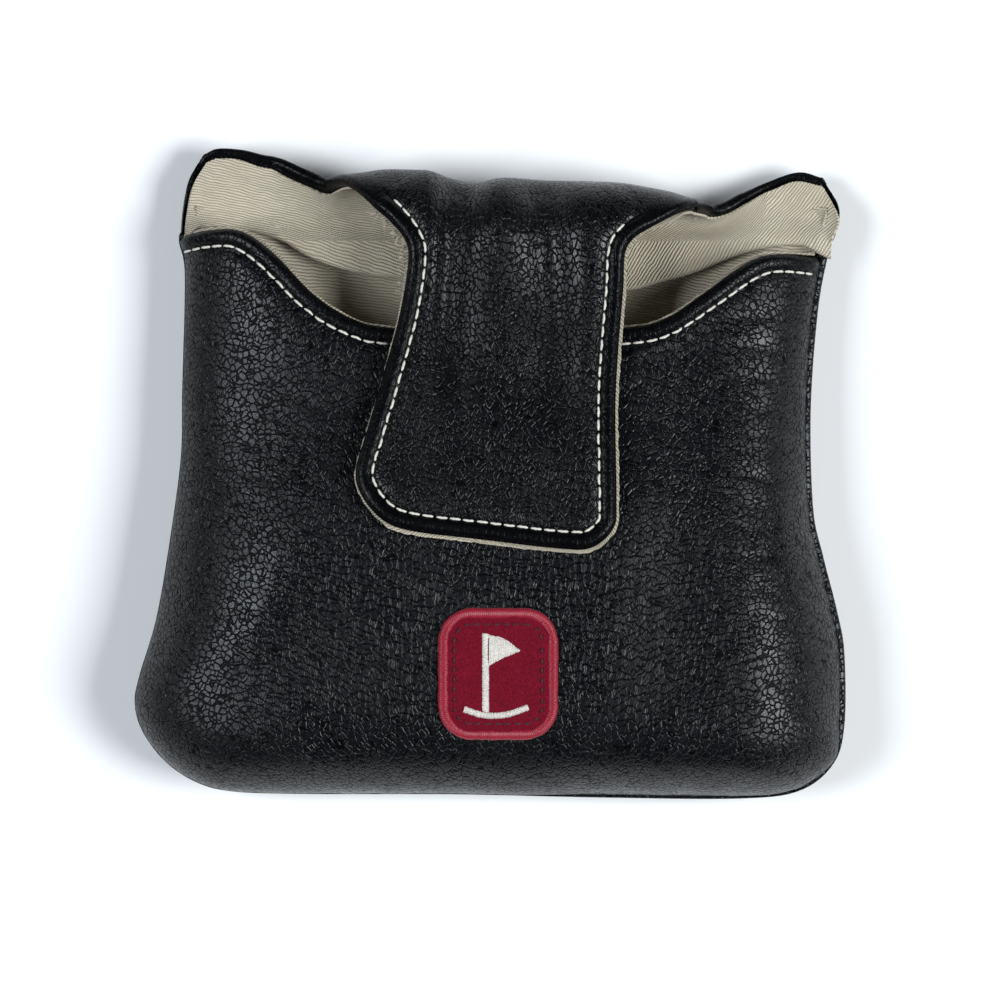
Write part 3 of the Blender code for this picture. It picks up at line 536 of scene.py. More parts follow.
def thread_material(name, colour, darker, roughness=0.62):
    """Twisted thread, its plies in the mesh and its fibres here."""
    n = Nodes(name)
    rest = n.attribute("rest")
    fibre = n.noise(rest, 5.5, 3.0)
    patch = n.noise(rest, 0.35, 2.0)
    tone = n.math("MULTIPLY", n.span(fibre, 0.3, 0.65), n.span(patch, 0.3, 0.6, 0.75, 1.0))
    n.look(Base_Color=n.mix(tone, darker, colour), Roughness=roughness, Sheen_Weight=0.1,
           Normal=n.bump(fibre, 0.05, 0.6))
    return n.material


def felt_material(name, colour, darker):
    n = Nodes(name)
    rest = n.attribute("rest")
    fibre = n.noise(n.scaled(rest, (3.2, 2.0, 2.6)), 1.6, 4.0)
    mottled = n.noise(rest, 0.5, 2.0)
    tone = n.math("MULTIPLY", n.span(fibre, 0.32, 0.66), n.span(mottled, 0.25, 0.7, 0.7, 1.0))
    n.look(Base_Color=n.mix(tone, darker, colour), Roughness=0.88, Specular_IOR_Level=0.12,
           Normal=n.bump(fibre, 0.16, 0.8))
    return n.material


def solid_material(name, colour, darker, roughness, metallic, scale, depth):
    """For the solids kept inside the cover: cast or plated, with a fine uneven surface."""
    n = Nodes(name)
    place = n.add("ShaderNodeTexCoord").outputs["Object"]
    grain = n.noise(place, scale / MM, 3.0)
    n.look(Base_Color=n.mix(n.span(grain, 0.3, 0.7), darker, colour), Metallic=metallic,
           Roughness=n.span(grain, 0.2, 0.8, roughness - 0.06, roughness + 0.08),
           Normal=n.bump(grain, depth, 0.6))
    return n.material


leather = leather_material("pebbled_leather", BLACK, CREASE_SHADE_BLACK, 0.32)
flap_hide = leather_material("flap_leather", (0.0028, 0.0031, 0.0041), CREASE_SHADE_BLACK, 0.32, 1.05)
twill = twill_material("cotton_twill", TWILL_LIGHT, TWILL_DARK)
white_thread = thread_material("off_white_thread", THREAD_WHITE, (0.50, 0.46, 0.38))
fray_thread = thread_material("frayed_cotton", (0.74, 0.69, 0.58), (0.42, 0.36, 0.27), 0.85)
red_thread = thread_material("red_embroidery", BORDER_RED, (0.20, 0.004, 0.016), 0.42)
dark_thread = thread_material("dark_red_thread", (0.055, 0.003, 0.010), (0.015, 0.001, 0.003), 0.6)
motif_thread = thread_material("white_embroidery", (0.84, 0.80, 0.74), (0.46, 0.42, 0.38), 0.5)
red_felt = felt_material("crimson_felt", FELT_RED, (0.085, 0.0015, 0.008))
nickel = solid_material("plated_magnet", (0.62, 0.61, 0.60), (0.42, 0.41, 0.40), 0.28, 1.0, 1.5, 0.01)
seam_black = solid_material("black_seam_thread", (0.02, 0.02, 0.022), (0.008, 0.008, 0.009),
                            0.7, 0.0, 3.0, 0.05)
seam_white = solid_material("lining_seam_thread", (0.72, 0.69, 0.62), (0.45, 0.42, 0.36),
                            0.7, 0.0, 3.0, 0.05)

# ---------------------------------------------------------------- meshes

def add_mesh(name, points, faces, look, layers):
    """A mesh object from points in mm. layers are numbers or vectors kept for each point."""
    used, renumbered = np.unique(faces, return_inverse=True)
    faces = renumbered.reshape(faces.shape)
    points = points[used]
    corners = points[faces]
    spread = np.cross(corners[:, 2] - corners[:, 0], corners[:, 3] - corners[:, 1])
    if (corners.mean(axis=1) * spread).sum() < 0:
        faces = faces[:, ::-1]
    mesh = bpy.data.meshes.new(name)
    rings = [ring if len(set(ring)) == 4 else tuple(dict.fromkeys(ring)) for ring in faces.tolist()]
    mesh.from_pydata((points * MM).tolist(), [], [ring for ring in rings if len(ring) > 2])
    mesh.update()
    rest = points.copy()  # where the grain is drawn, stretched along Y near the middle
    rest[:, 1] *= 0.70 + 0.30 * smoothstep((np.abs(points[:, 0] - MIDDLE_X) - 14) / 45)
    for key, values in {"rest": rest, **{key: kept[used] for key, kept in layers.items()}}.items():
        kind, field = ("FLOAT", "value") if values.ndim == 1 else ("FLOAT_VECTOR", "vector")
        mesh.attributes.new(key, kind, "POINT").data.foreach_set(field, values.ravel())
    mesh.shade_smooth()
    mesh.set_sharp_from_angle(angle=math.radians(55))
    mesh.materials.append(look)
    made = bpy.data.objects.new(name, mesh)
    bpy.context.scene.collection.objects.link(made)
    return made


def grid_faces(index):
    return np.stack([index[:-1, :-1], index[1:, :-1], index[1:, 1:], index[:-1, 1:]],
                    axis=-1).reshape(-1, 4)


def shell(name, outer, inner, look, fan=False, **layers):
    """A closed shell between two grids of points. A fan's last column is its stem, folded double."""
    rows, columns = outer.shape[:2]
    index = np.arange(rows * columns).reshape(rows, columns)
    if fan:
        half = rows // 2
        index[half + 1:, -1] = index[:half, -1][::-1]
    below = index + rows * columns
    borders = [np.stack([index[0], below[0]]), np.stack([below[-1], index[-1]]),
               np.stack([below[:, 0], index[:, 0]])]
    if not fan:
        borders.append(np.stack([index[:, -1], below[:, -1]]))
    faces = [grid_faces(index), grid_faces(below)[:, ::-1], *[grid_faces(b) for b in borders]]
    points = np.concatenate([outer.reshape(-1, 3), inner.reshape(-1, 3)])
    doubled = {}
    for key, values in layers.items():
        values = np.asarray(values, float)
        flat = values.reshape(-1) if values.ndim == 2 else values.reshape(-1, values.shape[-1])
        doubled[key] = np.concatenate([flat, flat])
    return add_mesh(name, points, np.concatenate(faces), look, doubled)


def grid_normals(points, up):
    """Normals of a grid; up is 1 or -1 for the way they face."""
    along = np.gradient(points, axis=0)
    across = np.gradient(points, axis=1)
    normal = np.cross(along, across)
    length = np.linalg.norm(normal, axis=-1)[..., None]
    normal = np.where(length > 1e-7, normal / np.maximum(length, 1e-7), (0.0, 0.0, up))
    if normal[..., 2].mean() * up < 0:
        normal = -normal
    return normal


def fan_normals(points, up):
    """Normals of a fan: the two sides share those of its stem, and those of its edge are level."""
    normal = grid_normals(points, up)
    half = points.shape[0] // 2
    both = normal[:, -1] + normal[::-1, -1]
    both[half] = both[half - 1]
    normal[:, -1] = unit(both)
    tangent = np.gradient(points[:, 0, :2], axis=0)
    normal[:, 0, :2] = unit(np.stack([tangent[:, 1], -tangent[:, 0]], axis=1))
    normal[:, 0, 2] = 0.0
    return normal


def tree_of(points):
    """A search tree over a grid whose faces are seen from above."""
    flat = [Vector(p) for p in points.reshape(-1, 3)]
    faces = grid_faces(np.arange(len(flat)).reshape(points.shape[:2])).tolist()
    return BVHTree.FromPolygons(flat, faces)


def drape(trees, x, y):
    """The point of the topmost surface here, and its normal."""
    best = None
    for tree in trees:
        place, normal, _, _ = tree.ray_cast(Vector((x, y, 200.0)), Vector((0, 0, -1)))
        if place is not None and (best is None or place.z > best[0].z):
            best = (place, normal if normal.z > 0 else -normal)
    return np.array(best[0]), np.array(best[1])


def crowded(end, first=0.06, growth=1.35, largest=0.9):
    """Distances from 0 to end whose steps grow from a fine first one."""
    found = [0.0]
    step = first
    while found[-1] + step < end:
        found.append(found[-1] + step)
        step = min(step * growth, largest)
    found[-1] = end
    return np.array(found)


def two_ended(length, **steps):
    """Distances crowded towards both ends."""
    half = crowded(length / 2, **steps)
    return np.concatenate([half, length - half[-2::-1]])


# ---------------------------------------------------------------- front and back panels

def seam_set_in(x, y):
    """How far the seam lies inside the outline, where the back panel shows beside the front."""
    right = 1.0 * smoothstep((x - 50) / 15) * smoothstep((y + 62) / 10)
    bottom = 0.55 * smoothstep((x - 5) / 20) * smoothstep((-60 - y) / 5)
    return 0.15 + right + bottom


def both_sides(rows):
    """Values of the rows up one side of a fan and down the other."""
    return np.concatenate([rows, rows[-2::-1]])


def stem_fan(edge, rows, stem_start, stem_length, rim, spacing=None, count=34):
    """Places and insets of a fan from a U-shaped edge to a stem up its middle.

    Its columns are crowded by rim near the edge, and evenly spaced past it.
    """
    climb = stem_length * (1 - np.exp(-rows / abs(stem_length)))
    stem = np.stack([np.full(len(rows), MIDDLE_X), stem_start + climb], axis=1)
    inward = both_sides(stem) - edge
    reach = np.linalg.norm(inward, axis=1)
    if spacing:
        count = int(reach.max() / spacing)
    share = np.linspace(0, 1, count)[None, 1:]
    inner = rim[-1] + (reach[:, None] - rim[-1]) * share
    inset = np.concatenate([np.repeat(rim[None], len(edge), axis=0), inner], axis=1)
    return edge[:, None] + (inward / reach[:, None])[:, None] * inset[..., None], inset


def fan(start_left, start_right, rows, stem_top, stem_length, rim, spacing, top=None, fade=45.0):
    """X, Y and inset of a fan over a panel, whose top edge may follow a curve."""
    left = points_at(outline, start_left + rows)
    right = points_at(outline, start_right - rows)
    right[-1] = left[-1]
    edge = np.vstack([left, right[-2::-1]])
    place, inset = stem_fan(edge, rows, stem_top, -stem_length, rim, spacing)
    x, y = place[..., 0], place[..., 1]
    if top is not None:
        on_left = np.arange(len(edge))[:, None] < len(rows)
        first_x, first_y = [np.where(on_left, left[0, i], right[0, i]) for i in (0, 1)]
        down = both_sides(rows)[:, None]
        straight = lerp(first_y, stem_top, (x - first_x) / (MIDDLE_X - first_x))
        y = y + (top(x) - straight) * (1 - smoothstep(down / fade))
    return x, y, inset


def rim_turns(width, count=18):
    """Insets that follow a rounded border of this width in even turns."""
    return width * (1 - np.cos(np.linspace(0, math.pi / 2, count)))


def side_width(y):
    """The front panel slopes off further at its sides than at its bottom."""
    return lerp(21.0, 33.0, smoothstep((y + 62) / 22))


def mouth_y(x):
    return np.interp(x, mouth_curve[:, 0], mouth_curve[:, 1])


near_mouth = Nearest(mouth_curve)
half_front = (corner_right - corner_left) / 2
front_rows = crowded(half_front, first=0.06, growth=1.2, largest=1.0)
FRONT_STEM = 40.0
FRONT_RIM = 20.0
x, y, inset = fan(corner_left, corner_right, front_rows, mouth_y(MIDDLE_X), FRONT_STEM,
                  rim_turns(FRONT_RIM), 1.0, top=mouth_y)


def front_surface(x, y, inset):
    seam = seam_height(y)
    return seam + (front_dome(x, y) - seam) * rounding(inset, side_width(y)) ** 1.12


def front_relief(x, y, inset):
    """Wrinkles along the right side and the mouth, and a slow unevenness of the padding."""
    right = smoothstep((x - 44) / 14) * smoothstep(inset / 1.5)
    side = right * (1 - smoothstep((y - 44) / 5)) * smoothstep((y + 28) / 16)
    lines = np.sin(2 * math.pi * (y + 1.6 * waves(x, y, 9, 21)) / 6.2 + 0.12 * x)
    wrinkles = -0.42 * np.clip(lines, 0, 1) ** 3 * side * (0.6 + 0.4 * waves(x, y, 12, 22))
    corner = smoothstep((x - 55) / 12) * bell(y + 28, 9.0)
    slanted = -0.30 * np.clip(np.sin((x * 0.8 + y * 1.5) / 1.1 + waves(x, y, 8, 23)), 0, 1) ** 3
    left = smoothstep((-50 - x) / 12) * bell(y - 12, 26) * smoothstep(inset / 1.5)
    creases = -0.22 * np.clip(np.sin((y + 0.4 * x + 2 * waves(x, y, 11, 24)) / 1.25), 0, 1) ** 3
    hollow = -1.3 * bell(x - 41, 9.0) * bell(y - 5, 34) + 0.9 * bell(x - 58, 8.0) * bell(y + 18, 40)
    rows_of_grain = 0.06 * waves(x, y, 2.4, 26)
    slow = 0.5 * waves(x, y, 26, 25) * smoothstep(inset / 22)
    return wrinkles + slanted * corner + creases * left + slow + rows_of_grain + hollow


bare = np.stack([x, y, front_surface(x, y, inset)], axis=-1)
across = seam_set_in(x[:, :1], y[:, :1]) * (1 - smoothstep(inset / 12))
normal = fan_normals(bare, 1)
bare[..., :2] -= normal[:, :1, :2] * across[..., None]
normal = fan_normals(bare, 1)
distance, along = near_mouth(bare[..., 0], bare[..., 1])
distance = np.where(np.arange(len(bare))[:, None] % (len(bare) - 1) == 0, 0.0, distance)
stitched = smoothstep((inset - 0.3) / 1.5)
panel_relief = front_relief(x, y, inset) * smoothstep((distance - 2.0) / 5)
past_seam = smoothstep(inset / 0.8)
off = (panel_relief + hem(distance, along, stitched) * past_seam
       - (1 - past_seam) * np.clip(1.2 - distance, 0, 1.2))
front_outer = bare + normal * off[..., None]
front_inner = bare - normal * np.maximum(hem_inside(distance, PANEL_THICK), 1.3)[..., None]
front_panel = shell("front_panel", front_outer, front_inner, leather, fan=True,
                    grain=hem_grain(distance, least=0.45))
front_tree = tree_of(front_outer)

# The lining inside the front panel, whose cut edge shows past the mouth
PEEK = 0.55
lining_rows = crowded(half_front, first=0.25, growth=1.3, largest=2.2)
x, y, inset = fan(corner_left + 1.0, corner_right - 1.0, lining_rows, mouth_y(MIDDLE_X), FRONT_STEM,
                  rim_turns(FRONT_RIM, 9), 2.4, top=lambda x: mouth_y(x) + PEEK)
under = np.stack([x, y, front_surface(x, y, inset)], axis=-1)
normal = fan_normals(under, 1)
down = both_sides(lining_rows)[:, None]
edge_wave = 0.16 * np.abs(waves(x, y, 0.8, 31)) + 0.10 * waves(x, y, 5.0, 32)
under[..., 1] -= edge_wave * (down == 0)
depth = lerp(HEM + 0.05, PANEL_THICK + LINING_GAP, smoothstep((down - 3) / 4)) + 0 * x
front_lining = shell(
    "front_lining", under - normal * depth[..., None],
    under - normal * (depth + LINING)[..., None], twill, fan=True,
    weave=np.stack([x * 0.94 + y * 0.34, y * 0.94 - x * 0.34, 0 * x], axis=-1))

# Back panel up to the start of the roll
left_start = crossing(outline, 1, ROLL_Y)
right_start = crossing(outline, 1, ROLL_Y, last=True)
half_back = (right_start - left_start) / 2
back_rows = crowded(half_back, first=0.06, growth=1.4, largest=1.2)
BACK_STEM = 60.0
x, y, inset = fan(left_start, right_start, back_rows, ROLL_Y, BACK_STEM, rim_turns(BACK_ROUND),
                  1.3)


def back_surface(y, inset):
    seam = seam_height(y)
    return seam - (seam - back_floor(y)) * rounding(inset, BACK_ROUND)


def back_relief(x, y, inset):
    """A slow unevenness, and none where the panel rests on the table."""
    lifted = 1 - smoothstep((inset - 7) / 6)
    lifted = np.maximum(lifted, smoothstep((y - BACK_FLAT_END) / 14)) * smoothstep(inset / 3)
    return (0.35 * waves(x, y, 16, 41) + 0.08 * waves(x, y, 4, 42)) * lifted


face = np.stack([x, y, back_surface(y, inset)], axis=-1)
normal = fan_normals(face, -1)
mouth_fade = 1 - smoothstep((y - 44) / 5)
back_outer = face + normal * (back_relief(x, y, inset) * mouth_fade)[..., None]
lip = seam_set_in(x[:, :1], y[:, :1])
rim_top = face[:, :1] - normal[:, :1] * lip[..., None]
rim_mid = face[:, :1] - normal[:, :1] * (0.35 * lip)[..., None]
rim_top[..., 2] += 0.02
rim_mid[..., 2] -= 0.05
back_outer[..., 2] -= 0.45 * lip * (1 - smoothstep(inset / 3))
outer = np.concatenate([rim_top, rim_mid, back_outer], axis=1)
inner_face = face - normal * PANEL_THICK
inner = np.concatenate([inner_face[:, :1], inner_face[:, :1], inner_face], axis=1)
inner[:, :2, 2] -= 0.4
back_panel = shell("back_panel", outer, inner, leather, fan=True,
                   grain=np.ones(outer.shape[:2]))

# ---------------------------------------------------------------- ears, roll and flap

def between_borders(bottom, top, left, right, across, up):
    """Points inside four border curves, for shares across and up."""
    bottom, top = points_at_shares(bottom, across), points_at_shares(top, across)
    left, right = points_at_shares(left, up), points_at_shares(right, up)
    a = across[None, :, None]
    b = up[:, None, None]
    corners = ((1 - b) * ((1 - a) * bottom[0] + a * bottom[-1])
               + b * ((1 - a) * top[0] + a * top[-1]))
    return ((1 - b) * bottom[None] + b * top[None] + (1 - a) * left[:, None] + a * right[:, None]
            - corners)


def points_at_shares(curve, shares):
    return points_at(curve, np.asarray(shares) * length_of(curve))


def side_rise(points, x, inset, below_top):
    """How far an ear's side is turned up to the seam; its free tip is not."""
    low_rise = (seam_height(points[..., 1]) - points[..., 2]) * (1 - rounding(inset, BACK_ROUND))
    return np.clip(low_rise, 0, None) * (1 - tongue_share(x)) * smoothstep((below_top - 0.5) / 7)


LEFT_CORNER = crossing(free_edge, 0, -60.6)
RIGHT_CORNER = crossing(free_edge, 0, 70.8, last=True)
EDGE_END = edge_at[-1]
EAR_SIDE = {"left": 1.3, "right": 0.6}  # thickness of the leather along an ear's outer side
ears = {}
for name, side_sign in (("left", -1), ("right", 1)):
    tongue_x = TONGUE_SIDES[0] if side_sign < 0 else TONGUE_SIDES[1]
    outline_x = points_at(outline, [left_start if side_sign < 0 else right_start])[0][0]
    foot = np.array([(outline_x, 0.0), (tongue_x, 0.0)])
    if side_sign < 0:
        side = np.vstack([[outline_x, 0.0], part_of(free_edge, 1.2, LEFT_CORNER, 60)])
        crest = part_of(free_edge, LEFT_CORNER, EAR_LEFT_END, 80)
    else:
        side = np.vstack([[outline_x, 0.0], part_of(free_edge, RIGHT_CORNER, EDGE_END, 60)[::-1]])
        crest = part_of(free_edge, EAR_RIGHT_START, RIGHT_CORNER, 80)[::-1]
    side = side[side[:, 1] >= 0]
    inner_side = np.array([(tongue_x, 0.0), crest[-1]])
    across, up = [
        two_ended(length, first=0.06, growth=1.3, largest=0.6) / length
        for length in (length_of(crest), length_of(side))
    ]
    plane = between_borders(foot, crest, side, inner_side, across, up)
    x, u = plane[..., 0], plane[..., 1]
    inset, _ = Nearest(side)(x, u)
    distance, along = near_edge(x, u)
    border = (np.arange(len(up))[:, None] == len(up) - 1) | (np.arange(len(across))[None] == 0)
    distance = np.where(border & (u > 0.5), 0.0, distance)
    distance = lerp(30.0, distance, smoothstep(u / 1.5))
    below_top, _ = Nearest(crest)(x, u)
    face = unrolled(x, u)
    face[..., 2] += side_rise(face, x, inset, below_top)
    normal = grid_normals(face, -1)
    normal = np.where(tongue_share(x)[..., None] > 0.999, normals_of(unrolled, x, u), normal)
    own = relief(x, u) * tongue_share(x) + 0.15 * waves(x, u, 12, 51) * smoothstep(u / 4)
    edge = lerp(EAR_SIDE[name], HEM, smoothstep((inset - 1) / 22))
    off = own * smoothstep(distance / 4) + hem(distance, along, 0.0, edge)
    ear_outer = face + normal * off[..., None]
    ear_inner = face - normal * hem_inside(distance, np.minimum(EAR_THICK, edge), edge)[..., None]
    ear_leather = shell(f"ear_leather_{name}", ear_outer, ear_inner, leather,
                        grain=hem_grain(distance, start=1.5, width=2.5))
    ears[name] = {"side": side, "crest": crest, "leather": ear_leather}


def tongue_limits(u):
    """Left and right X of the tongue at U round the roll."""
    left = free_edge[(edge_at >= EAR_LEFT_END) & (edge_at <= flap_start + 3)]
    right = free_edge[(edge_at >= flap_end - 3) & (edge_at <= EAR_RIGHT_START)][::-1]
    at_left = np.interp(u, left[:, 1], left[:, 0], left=TONGUE_SIDES[0])
    at_right = np.interp(u, right[:, 1], right[:, 0], left=TONGUE_SIDES[1])
    return at_left, at_right


def tongue_leather(name, x, u, distance, along, stitched, look, thickness, follows, fan=False):
    """A length of the tongue's leather, and its outer face. Its inner face follows the relief less."""
    face = unrolled(x, u)
    normal = normals_of(unrolled, x, u)
    off = relief(x, u) * smoothstep((distance - 2.5) / 6) + hem(distance, along, stitched)
    depth = follows * relief(x, u) * smoothstep(distance / 8) - hem_inside(distance, thickness)
    outer = face + normal * off[..., None]
    inner = face + normal * depth[..., None]
    return shell(name, outer, inner, look, fan=fan, grain=hem_grain(distance)), outer


CUTS = (0.0, ROLL_R * math.radians(60), ROLL_R * math.radians(120), ROLL_LENGTH)
roll_grid = two_ended(1.0, first=0.0008, growth=1.22, largest=0.010)
rolls = {}
for number, (low, high) in enumerate(zip(CUTS, CUTS[1:])):
    u = low + two_ended(high - low, first=0.06, growth=1.4, largest=0.55)
    left, right = tongue_limits(u)
    x = left[:, None] + (right - left)[:, None] * roll_grid[None]
    u = u[:, None] + 0 * x
    distance, along = near_edge(x, u)
    free = u > free_edge[edge_at >= EAR_LEFT_END][0][1]
    at_side = np.isclose(x, left[:, None]) | np.isclose(x, right[:, None])
    distance = np.where(at_side & free, 0.0, distance)
    stitched = (smoothstep((along - STITCH_START + 3) / 3)
                * (1 - smoothstep((along - STITCH_END) / 3)))
    rolls[number], roll_outer = tongue_leather(
        f"roll_leather_{number + 1}", x, u, distance, along, stitched,
        flap_hide if number else leather, EAR_THICK, LINING_FOLLOWS)
last_roll_tree = tree_of(roll_outer)

# The free edge runs clockwise round the tongue, so its outside is on its left.
edge_tangent = unit(np.gradient(free_edge, axis=0))
edge_outward = np.stack([-edge_tangent[:, 1], edge_tangent[:, 0]], axis=1)


def outward_at(where):
    """Unit vectors out of the tongue at these lengths along its edge."""
    return np.stack([np.interp(where, edge_at, edge_outward[:, i]) for i in (0, 1)], axis=-1)


FLAP_STEM = 52.0
half_flap = (flap_end - flap_start) / 2


def flap_fan(rows, insets, grow):
    """X, U and inset of a fan over the flap, its edge moved out by grow."""
    where = np.concatenate([flap_start + rows, (flap_end - rows)[-2::-1]])
    edge = points_at(free_edge, where) + outward_at(where) * np.reshape(grow(where), (-1, 1))
    edge[[0, -1], 1] = ROLL_LENGTH
    place, inset = stem_fan(edge, rows, ROLL_LENGTH, FLAP_STEM, insets)
    return place[..., 0], place[..., 1], inset


hem_steps = np.array([0, 0.07, 0.18, 0.34, 0.55, 0.8, 1.15, 1.6, 2.1, 2.55, 2.9, 3.15, 3.4, 3.6,
                      3.8, 4.05, 4.4, 4.9, 5.6, 6.5, 7.6])
flap_rows = crowded(half_flap, first=0.07, growth=1.3, largest=0.42)
x, u, inset = flap_fan(flap_rows, hem_steps, lambda where: 0 * where)
distance, along = near_edge(x, u)
distance = np.where(inset == 0, 0.0, distance)
flap_panel, flap_outer = tongue_leather("flap_panel", x, u, distance, along, 1.0, flap_hide,
                                        FLAP_THICK, 0.15, fan=True)
flap_tree = tree_of(flap_outer)


# ---------------------------------------------------------------- lining of the tongue

def lining_peek(where):
    """How far the lining shows past the leather: most at the flap's bottom and right side."""
    share = (where - flap_start) / (flap_end - flap_start)
    shown = lerp(0.25, 0.66, smoothstep((share - 0.33) / 0.05))
    top_left = 0.5 * (1 - smoothstep(share / 0.14))
    ragged = 0.12 * waves(where, 0, 1.1, 61) + 0.10 * waves(where, 0, 6.0, 62)
    return shown + top_left + ragged


def weave_at(x, y, turn):
    """Coordinates along and across the wales of cloth turned by this angle."""
    c, s = np.cos(turn), np.sin(turn)
    return np.stack([x * c + y * s, y * c - x * s, 0 * x], axis=-1)


WEAVE_LEFT = -9.0
WEAVE_RIGHT = 52.0


def loose_weave(x, u):
    """The wales run nearly level on the left and steeply on the right; they turn under the flap."""
    share = smoothstep((x + 20) / 46)
    x = x - MIDDLE_X
    u = u + 0.10 * x * (1 - share)
    return weave_at(x, u, np.radians(lerp(WEAVE_LEFT, WEAVE_RIGHT, share)))


lining_steps = np.array([0, 0.25, 0.6, 1.2, 2.5, 5.0, 8.0])
lining_rows = crowded(half_flap, first=0.07, growth=1.3, largest=0.45)
x, u, inset = flap_fan(lining_rows, lining_steps, lining_peek)
face = lining_face(x, u)
normal = normals_of(unrolled, x, u)
depth = lerp(HEM + 1.0, HEM + 0.1, 1 - smoothstep((u - ROLL_LENGTH) / 7))
edge_round = 0.16 * bell(inset, 0.35)
top_depth = depth + edge_round
low_depth = depth + LINING + 0.35 - edge_round
flap_lining = shell("flap_lining_cloth", face - normal * top_depth[..., None],
                    face - normal * low_depth[..., None], twill, fan=True,
                    weave=loose_weave(x, u))

# ---------------------------------------------------------------- lining of the ears and pocket
# The loose lining of each ear hangs down to a soft fold, given from above; the pocket's own
# lining lies lower, behind it.
FOLDS = {
    "left": ((-66.0, 49.6), (-63.2, 51.2), (-60.3, 53.7), (-52.9, 53.4), (-45.5, 50.6),
             (-38.8, 47.3), (-29.3, 44.7), (-17.4, 43.3), (3.0, 41.8)),
    "right": ((3.0, 41.8), (18.0, 40.9), (29.3, 41.2), (37.1, 42.9), (44.5, 44.7), (52.1, 47.2),
              (59.5, 48.7), (65.5, 49.0), (69.5, 47.6), (75.0, 45.6)),
}
folds = {name: smooth_curve(points) for name, points in FOLDS.items()}
# The cloth curls back under itself at the fold, in steps of Y and Z.
CURL = ((-0.45, -0.15), (-0.75, -0.55), (-0.75, -1.05), (-0.4, -1.5), (0.4, -1.8), (2.0, -2.1))
CURL_STEP = 0.6  # cloth between two steps of the curl


def fold_on(name, x):
    """Y of the fold of one ear, carried on level past its ends."""
    return np.interp(x, folds[name][:, 0], folds[name][:, 1])


def fold_place(x):
    """Y of the fold on either side."""
    return np.where(x < MIDDLE_X, fold_on("left", x), fold_on("right", x))


def loose_lining(x, u, inset=20.0, below_top=20.0, side_edge=1.3):
    """Points of the loose lining: it swells towards its fold and stands up along an ear's side."""
    points = unrolled(x, u)
    above = points[..., 1] - fold_place(x)
    depth = lerp(HEM + 1.4, HEM + 0.65, smoothstep((u - 1.0) / 8))
    rise = lerp(2.6, 5.6, smoothstep((62 - np.abs(x - MIDDLE_X)) / 30))
    swell = rise * np.exp(-np.clip(above, 0, None) / 8.0) * smoothstep(inset / 4.0)
    sag = 0.35 * waves(x, points[..., 1], 7, 71) * smoothstep(inset / 3)
    loose = (swell + sag) * (1 - smoothstep(u / CUTS[1]))
    seam = seam_height(points[..., 1])
    wall = (seam + 0.3 - points[..., 2] - depth) * (1 - smoothstep((inset - side_edge) / 2.2))
    wall = wall * smoothstep((below_top - 0.5) / 7)
    wall = np.clip(np.maximum(wall, side_rise(points, x, inset, below_top)), 0, None)
    inward = depth + loose + wall * (1 - tongue_share(x)) - LINING_FOLLOWS * relief(x, u)
    return points - normals_of(unrolled, x, u) * inward[..., None]


def folded_lining(name, body, x, u):
    """A shell of loose lining, whose first row curls back under it, at X and U of the weave."""
    curl = [body[:1] + np.array([0.0, dy, dz]) for dy, dz in CURL]
    body = np.concatenate([*curl[::-1], body])
    drop = np.arange(-len(CURL), 0)[:, None] * CURL_STEP
    x = np.concatenate([np.repeat(x[:1], len(CURL), axis=0), x])
    u = np.concatenate([u[:1] + drop, u])
    return shell(name, body, body - grid_normals(body, 1) * LINING, twill, weave=loose_weave(x, u))


roll_linings = {}
for number, (low, high) in enumerate(zip(CUTS, CUTS[1:])):
    u = low + two_ended(high - low, first=0.08, growth=1.5, largest=1.2)
    beside_neck = smoothstep((u - 10.5) / 2.2) * (1 - smoothstep((u - 24) / 12))
    past_edge = smoothstep((u - 27.0) / 11) * (0.85 + 0.14 * waves(u, 0, 1.0, 63))
    started = smoothstep((u - 12.4) / 1.5) * beside_neck
    left = tongue_limits(u + 2.5 * beside_neck)[0] + 1.2 * started - past_edge
    right = tongue_limits(u + 1.9 * beside_neck)[1] - 0.5 * started + 0.65 * past_edge
    shares = two_ended(1.0, first=0.004, growth=1.5, largest=0.03)
    x = left[:, None] + (right - left)[:, None] * shares
    u = u[:, None] + 0 * x
    normal = normals_of(unrolled, x, u)
    if number == 0:
        face = loose_lining(x, u)
    else:
        depth = HEM + 0.65 + 0.3 * smoothstep((u - CUTS[1]) / 26)
        face = lining_face(x, u) - normal * depth[..., None]
    roll_linings[number] = shell(f"roll_lining_{number + 1}", face + normal * LINING, face, twill,
                                 weave=loose_weave(x, u))

